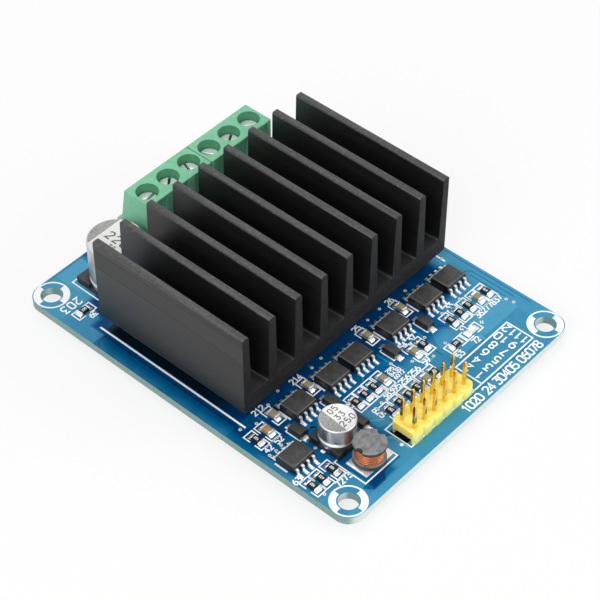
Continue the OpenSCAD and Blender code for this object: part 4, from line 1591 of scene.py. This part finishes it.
@dataclass(frozen=True)
class SmallParts:
    """Chip capacitors and resistors, the lamp, and the solder that holds them."""

    end_l: float = 0.4
    end_rise: float = 0.04
    resistor_end_l: float = 0.23
    pad_reach: float = 0.48
    pad_overhang: float = 0.06
    pad_h: float = 0.05
    edge_round: float = 0.06
    solder_round: float = 0.08
    capacitor_climb: float = 0.55
    amber_to_x: float = 4.0
    resistor_climb: float = 0.7
    resistor_wrap: float = 0.18
    resistor_values: tuple[str, ...] = ("103", "472", "102", "220", "101")
    value_h: float = 0.4
    value_line: float = 0.085
    value_advance: float = 0.8
    value_depths: Point = (0.05, 0.02)
    lamp_climb: float = 0.9
    lamp_base_h: float = 0.3
    lamp_inset: tuple[float, float, float] = (0.36, 0.05, 0.28)
    lamp_taper: float = 0.86

    def build(self) -> None:
        """Builds the small two ended parts from their solids' boxes."""
        solder = bmesh.new()
        self.capacitors(solder)
        self.resistors(solder)
        self.lamp(solder)
        bevel(solder, self.solder_round)
        smooth(solder, 50)
        finish_piece("part_solder", solder, (SOLDER,))

    def block(self, bm: bmesh.types.BMesh, solid: Extent, body: int, end: int, end_l: float) -> None:
        """Adds a ceramic block with two metal ends.

        Args:
            bm: The mesh.
            solid: The part's box.
            body: The material index of the block.
            end: The material index of the ends.
            end_l: The length of each end.
        """
        axis = solid.long_axis
        step = Vector([self.end_rise] * 3) * MM
        step[axis] = end_l * MM
        low, high = solid.low + step, solid.high - step
        low.z = solid.low.z
        add_box(bm, low, high, body)
        for side in (0, 1):
            low, high = solid.low.copy(), solid.high.copy()
            if side:
                low[axis] = high[axis] - end_l * MM
            else:
                high[axis] = low[axis] + end_l * MM
            add_box(bm, low, high, end)

    def fillets(self, bm: bmesh.types.BMesh, solid: Extent, climb: float, wrap: float = 0.3) -> None:
        """Adds the sloped solder outside both ends of a part.

        Args:
            bm: The mesh.
            solid: The part's box.
            climb: The share of the part's height that the solder reaches.
            wrap: How far it goes along the part's sides.
        """
        axis = solid.long_axis
        top = solid.low.z + max(2 * self.pad_h * MM, solid.size.z * climb)
        for side in (-1, 1):
            wall = solid.high[axis] if side > 0 else solid.low[axis]
            far = wall + side * self.pad_reach * MM
            low, high = solid.low.copy(), solid.high.copy()
            low[axis], high[axis] = sorted((wall - side * wrap * MM, far))
            low[1 - axis] -= self.pad_overhang * MM
            high[1 - axis] += self.pad_overhang * MM
            high.z = top
            for vert in add_box(bm, low, high):
                if vert.co.z > top - 1e-7 and abs(vert.co[axis] - far) < 1e-7:
                    vert.co.z = solid.low.z + self.pad_h * MM

    def capacitors(self, solder: bmesh.types.BMesh) -> None:
        """Builds the ceramic capacitors.

        Args:
            solder: The mesh that takes their solder.
        """
        bm = bmesh.new()
        for solid in solids_of("chip_capacitors"):
            amber = solid.place.x < self.amber_to_x
            self.block(bm, solid, 2 if amber else 0, 1, self.end_l)
            self.fillets(solder, solid, self.capacitor_climb)
        bevel(bm, self.edge_round)
        smooth(bm, 50)
        finishes = (CERAMIC, TIN, AMBER_CERAMIC)
        finish_piece("chip_capacitors_finished", bm, finishes, replaces=["chip_capacitors"])

    def resistors(self, solder: bmesh.types.BMesh) -> None:
        """Builds the resistors with a plain value number on each.

        Args:
            solder: The mesh that takes their solder.
        """
        bm = bmesh.new()
        marks = bmesh.new()
        for number, solid in enumerate(solids_of("chip_resistors")):
            self.block(bm, solid, 0, 1, self.resistor_end_l)
            self.fillets(solder, solid, self.resistor_climb, self.resistor_wrap)
            heading = (Heading.FROM_FRONT, Heading.FROM_RIGHT)[solid.long_axis]
            low_z, high_z = (solid.size.z / MM - depth for depth in self.value_depths)
            style = NumberStyle(
                self.value_h, self.value_line, heading, low_z, high_z, self.value_advance
            )
            value = self.resistor_values[number % len(self.resistor_values)]
            style.write(marks, value, tuple(solid.place.xy))
        bevel(bm, self.edge_round)
        smooth(bm, 50)
        finish_piece("chip_resistors_finished", bm, (RESISTOR, TIN), replaces=["chip_resistors"])
        finish_piece("resistor_numbers", marks, (INK,))

    def lamp(self, solder: bmesh.types.BMesh) -> None:
        """Builds the indicator lamp: a clear block on a white base with metal ends.

        Args:
            solder: The mesh that takes its solder.
        """
        extent = extent_of("indicator_led")
        bm = bmesh.new()
        base_z = extent.low.z + self.lamp_base_h * MM
        base = Extent(extent.low, Vector((extent.high.x, extent.high.y, base_z)))
        self.block(bm, base, 1, 2, self.end_l)
        inset = Vector(self.lamp_inset) * MM
        low = extent.low + inset
        high = extent.high - Vector((inset.x, inset.y, 0))
        lens = add_box(bm, low, high, 0)
        slope_top(lens, extent.middle, self.lamp_taper)
        bevel(bm, self.edge_round)
        smooth(bm, 50)
        self.fillets(solder, base, self.lamp_climb)
        finishes = (LAMP, LAMP_BODY, TIN)
        finish_piece("indicator_led_finished", bm, finishes, replaces=["indicator_led"])


@dataclass(frozen=True)
class CanCapacitor:
    """A drawn can on a moulded base, with a printed lid."""

    name: str
    negative_side: Point
    chord: float
    heading: Heading
    rows: tuple[tuple[str, float, Point], ...]
    groove: float = 0.35
    groove_z: float = 1.7
    rim: float = 0.24
    foot_z: float = 0.52
    top_round: float = 0.22
    lid_sunk: float = 0.06
    print_rise: float = 0.025
    print_line: float = 0.15
    print_advance: float = 1.02
    base_round: float = 0.1

    def build(self) -> None:
        """Builds the can, its lid's print and its base."""
        can = extent_of(f"{self.name}_can")
        radius = can.size.x / 2 / MM
        height = (can.high.z - PLANE.origin.z) / MM
        foot = Vector((can.middle.x, can.middle.y, PLANE.origin.z))
        lid_r = (radius - self.rim) * MM
        bm = bmesh.new()
        for face in add_revolved(bm, foot, self.profile(radius, height)):
            centre = face.calc_center_median()
            flat = abs(face.normal.z) > 0.8 and centre.z > foot.z + (height - 0.2) * MM
            face.material_index = 1 if flat and (centre - foot).xy.length < lid_r else 0
        smooth(bm, 40)
        lid = PrintedTop(
            f"{self.name}_lid", "capacitor_can", srgb(236, 236, 234), srgb(134, 134, 135),
            (foot.x / MM, foot.y / MM), self.negative_side, self.chord * radius,
        )
        finish_piece(f"{self.name}_can_finished", bm, (CAN, lid), replaces=[f"{self.name}_can"])
        self.print_rows(foot, height)
        dress_copy(f"{self.name}_base", (BASE,), width=self.base_round)

    def profile(self, radius: float, height: float) -> list[Point]:
        """The can's half section: turned in foot, groove, rounded shoulder and sunk lid.

        Args:
            radius: The can's radius in millimetres.
            height: The height of its rim above the board.

        Returns:
            Radius and height of each point, from bottom to top.
        """
        groove_middle = self.groove_z + self.groove
        shoulder = [
            (
                radius - self.top_round + self.top_round * math.cos(turn),
                height - self.top_round + self.top_round * math.sin(turn),
            )
            for turn in (math.radians(step) for step in range(0, 91, 18))
        ]
        dent = [
            (
                radius - self.groove * (1 + math.cos(turn)) / 2,
                groove_middle + self.groove * math.sin(turn / 2),
            )
            for turn in (math.radians(step) for step in range(-180, 181, 45))
        ]
        lid_r, lid_z, foot_z = radius - self.rim, height - self.lid_sunk, self.foot_z
        return [
            (0.0, foot_z), (radius - 0.4, foot_z), (radius - 0.08, foot_z + 0.1), (radius, foot_z + 0.34),
            *dent, *shoulder, (lid_r + 0.02, height - 0.01), (lid_r - 0.06, lid_z), (0.0, lid_z),
        ]

    def print_rows(self, foot: Vector, height: float) -> None:
        """Prints rows of plain numbers on the pale part of the lid.

        Args:
            foot: The point under the can's axis, on the board.
            height: The height of its rim above the board.
        """
        bm = bmesh.new()
        centre = PLANE.place_of(foot)
        low_z = height - self.lid_sunk - 0.01
        for number, size, offset in self.rows:
            style = NumberStyle(
                size, self.print_line * size, self.heading, low_z, low_z + self.print_rise,
                self.print_advance,
            )
            style.write(bm, number, (centre.x + offset[0], centre.y + offset[1]))
        finish_piece(f"{self.name}_number", bm, (BASE,))


@dataclass(frozen=True)
class Inductor:
    """Ferrite spool with a copper winding on two plated feet."""

    core_round: float = 0.08
    feet_round: float = 0.1
    groove_depth: float = 0.07

    def build(self) -> None:
        """Dresses the spool, with its sides darker as painted shade, the winding and the feet."""
        coil = extent_of("inductor_winding")
        groove_r = (coil.high.x - coil.low.x) / 2 - self.groove_depth * MM

        def in_groove(face: bmesh.types.BMFace) -> int:
            """1 between two turns of the wire, where dark copper is painted as shade."""
            return int((face.calc_center_median() - coil.middle).xy.length < groove_r)

        # Spool faces that don't face up take the darker ferrite as painted shade.
        dress_copy(
            "inductor_core", (FERRITE, FERRITE_SIDE_SHADE), width=self.core_round,
            choose=lambda face: int(face.normal.z < 0.5),
        )
        dress_copy("inductor_winding", (COPPER, COPPER_GROOVE_SHADE), width=0.0, choose=in_groove)
        dress_copy("inductor_pads", (TIN,), width=self.feet_round)


@dataclass(frozen=True)
class TabsAndJoints:
    """The flat tabs of the can capacitors and the solder joints under the board."""

    tab_round: float = 0.04
    joint_round: float = 0.06

    def build(self) -> None:
        """Dresses the tabs and the joints."""
        dress_copy("capacitor_tabs", (TIN,), width=self.tab_round)
        dress_copy("solder_joints", (SOLDER,), width=self.joint_round)


@dataclass(frozen=True)
class Studio:
    """Camera, floor and soft lamps."""

    azimuth: float = -48.1
    elevation: float = 45.88
    roll: float = -0.1
    eye: tuple[float, float, float] = (-174.04, -156.91, 247.08)
    focal_px: float = 1979.8
    image_px: float = 600.0
    sensor: float = 36.0
    floor_half: float = 1.5
    floor_grey: float = 0.86
    floor_glow: float = 0.8
    sky_light: float = 0.42
    lamp_target: tuple[float, float, float] = (0, 0, 0.01)

    def build(self) -> None:
        """Sets up everything that isn't the object."""
        self.camera()
        self.floor()
        self.lamps()
        self.world()
        bpy.context.scene.view_settings.view_transform = "Standard"

    def camera(self) -> None:
        """Places the camera where the photograph was taken from."""
        az, el, roll = (math.radians(v) for v in (self.azimuth, self.elevation, self.roll))
        back = Vector((math.sin(az) * math.cos(el), -math.cos(az) * math.cos(el), math.sin(el)))
        right = Vector((math.cos(az), math.sin(az), 0))
        up = back.cross(right)
        turn = Matrix((right, up, back)).transposed().to_4x4()
        data = bpy.data.cameras.new("camera")
        data.sensor_width = self.sensor
        data.lens = self.focal_px / self.image_px * self.sensor
        data.clip_start = 0.01
        camera = bpy.data.objects.new("camera", data)
        camera.matrix_world = Matrix.Translation(Vector(self.eye) * MM) @ turn @ Matrix.Rotation(roll, 4, "Z")
        bpy.context.scene.collection.objects.link(camera)
        bpy.context.scene.camera = camera

    def floor(self) -> None:
        """Lays a pale floor that keeps a light shadow."""
        bm = bmesh.new()
        bmesh.ops.create_grid(bm, x_segments=1, y_segments=1, size=self.floor_half)
        mesh = bpy.data.meshes.new("floor")
        bm.to_mesh(mesh)
        bm.free()
        mesh.materials.append(self.floor_material())
        floor = bpy.data.objects.new("floor", mesh)
        bpy.context.scene.collection.objects.link(floor)

    def floor_material(self) -> bpy.types.Material:
        """White for the camera and for reflections, with part of the real shading kept.

        Returns:
            The material.
        """
        material = bpy.data.materials.new("floor")
        material.use_nodes = True
        material.node_tree.nodes.clear()
        sheet = NodeSheet(material.node_tree)
        diffuse = sheet.node("ShaderNodeBsdfDiffuse")
        diffuse.inputs["Color"].default_value = (*[self.floor_grey] * 3, 1)
        glow = sheet.node("ShaderNodeEmission")
        glow.inputs["Color"].default_value = (1, 1, 1, 1)
        mix = sheet.node("ShaderNodeMixShader")
        share = sheet.math("MULTIPLY", self.seen(sheet), self.floor_glow)
        for output, target in zip((share, diffuse.outputs[0], glow.outputs[0]), mix.inputs):
            sheet.join(output, target)
        sheet.join(mix.outputs[0], sheet.node("ShaderNodeOutputMaterial").inputs["Surface"])
        return material

    def seen(self, sheet: NodeSheet) -> bpy.types.NodeSocket:
        """1 for what the camera sees, straight or in a reflection, and 0 for what gives light."""
        path = sheet.node("ShaderNodeLightPath").outputs
        return sheet.math("MAXIMUM", path["Is Camera Ray"], path["Is Glossy Ray"])

    def lamps(self) -> None:
        """Hangs the soft lamps: a key from the left, a top and a fill from the front right."""
        target = Vector(self.lamp_target)
        for name, place, size, power in (
            ("key", (-0.55, -0.12, 0.5), 0.45, 2.8),
            ("top", (0.1, 0.35, 0.75), 0.6, 1.6),
            ("fill", (0.35, -0.6, 0.4), 0.5, 3.0),
        ):
            data = bpy.data.lights.new(name, "AREA")
            data.size = size
            data.energy = power
            lamp = bpy.data.objects.new(name, data)
            lamp.location = place
            lamp.rotation_euler = (target - Vector(place)).to_track_quat("-Z", "Y").to_euler()
            bpy.context.scene.collection.objects.link(lamp)

    def world(self) -> None:
        """White to the camera and in reflections, a soft grey light otherwise."""
        world = bpy.data.worlds.new("studio")
        world.use_nodes = True
        bpy.context.scene.world = world
        sheet = NodeSheet(world.node_tree)
        background = world.node_tree.nodes["Background"]
        background.inputs["Color"].default_value = (1, 1, 1, 1)
        strength = sheet.node("ShaderNodeMapRange")
        strength.inputs["To Min"].default_value = self.sky_light
        strength.inputs["To Max"].default_value = 1.0
        sheet.join(self.seen(sheet), strength.inputs["Value"])
        sheet.join(strength.outputs["Result"], background.inputs["Strength"])


def main() -> None:
    """Builds the studio, then every sub-assembly in the order it is soldered on."""
    logging.basicConfig(level=logging.INFO, format="%(name)s %(message)s")
    Studio().build()
    for assembly in (
        CircuitBoard(),
        Heatsink(),
        TerminalBlocks(),
        Header(),
        LeadedParts(),
        SmallParts(),
        CanCapacitor(
            "bulk_capacitor", (0.0, 1.0), 0.57, Heading.FROM_LEFT,
            (("220", 1.7, (0.1, -0.4)), ("35", 0.95, (-1.9, -0.9)), ("508", 0.95, (2.2, -0.9))),
        ),
        CanCapacitor(
            "filter_capacitor", (-1.0, 0.07), 0.23, Heading.FROM_FRONT,
            (("05", 1.0, (0.7, 1.75)), ("33", 1.0, (0.6, 0.1)), ("250", 1.1, (0.75, -1.45))),
        ),
        Inductor(),
        TabsAndJoints(),
    ):
        assembly.build()
        log.info("%s built", type(assembly).__name__)


if __name__ == "__main__":
    main()
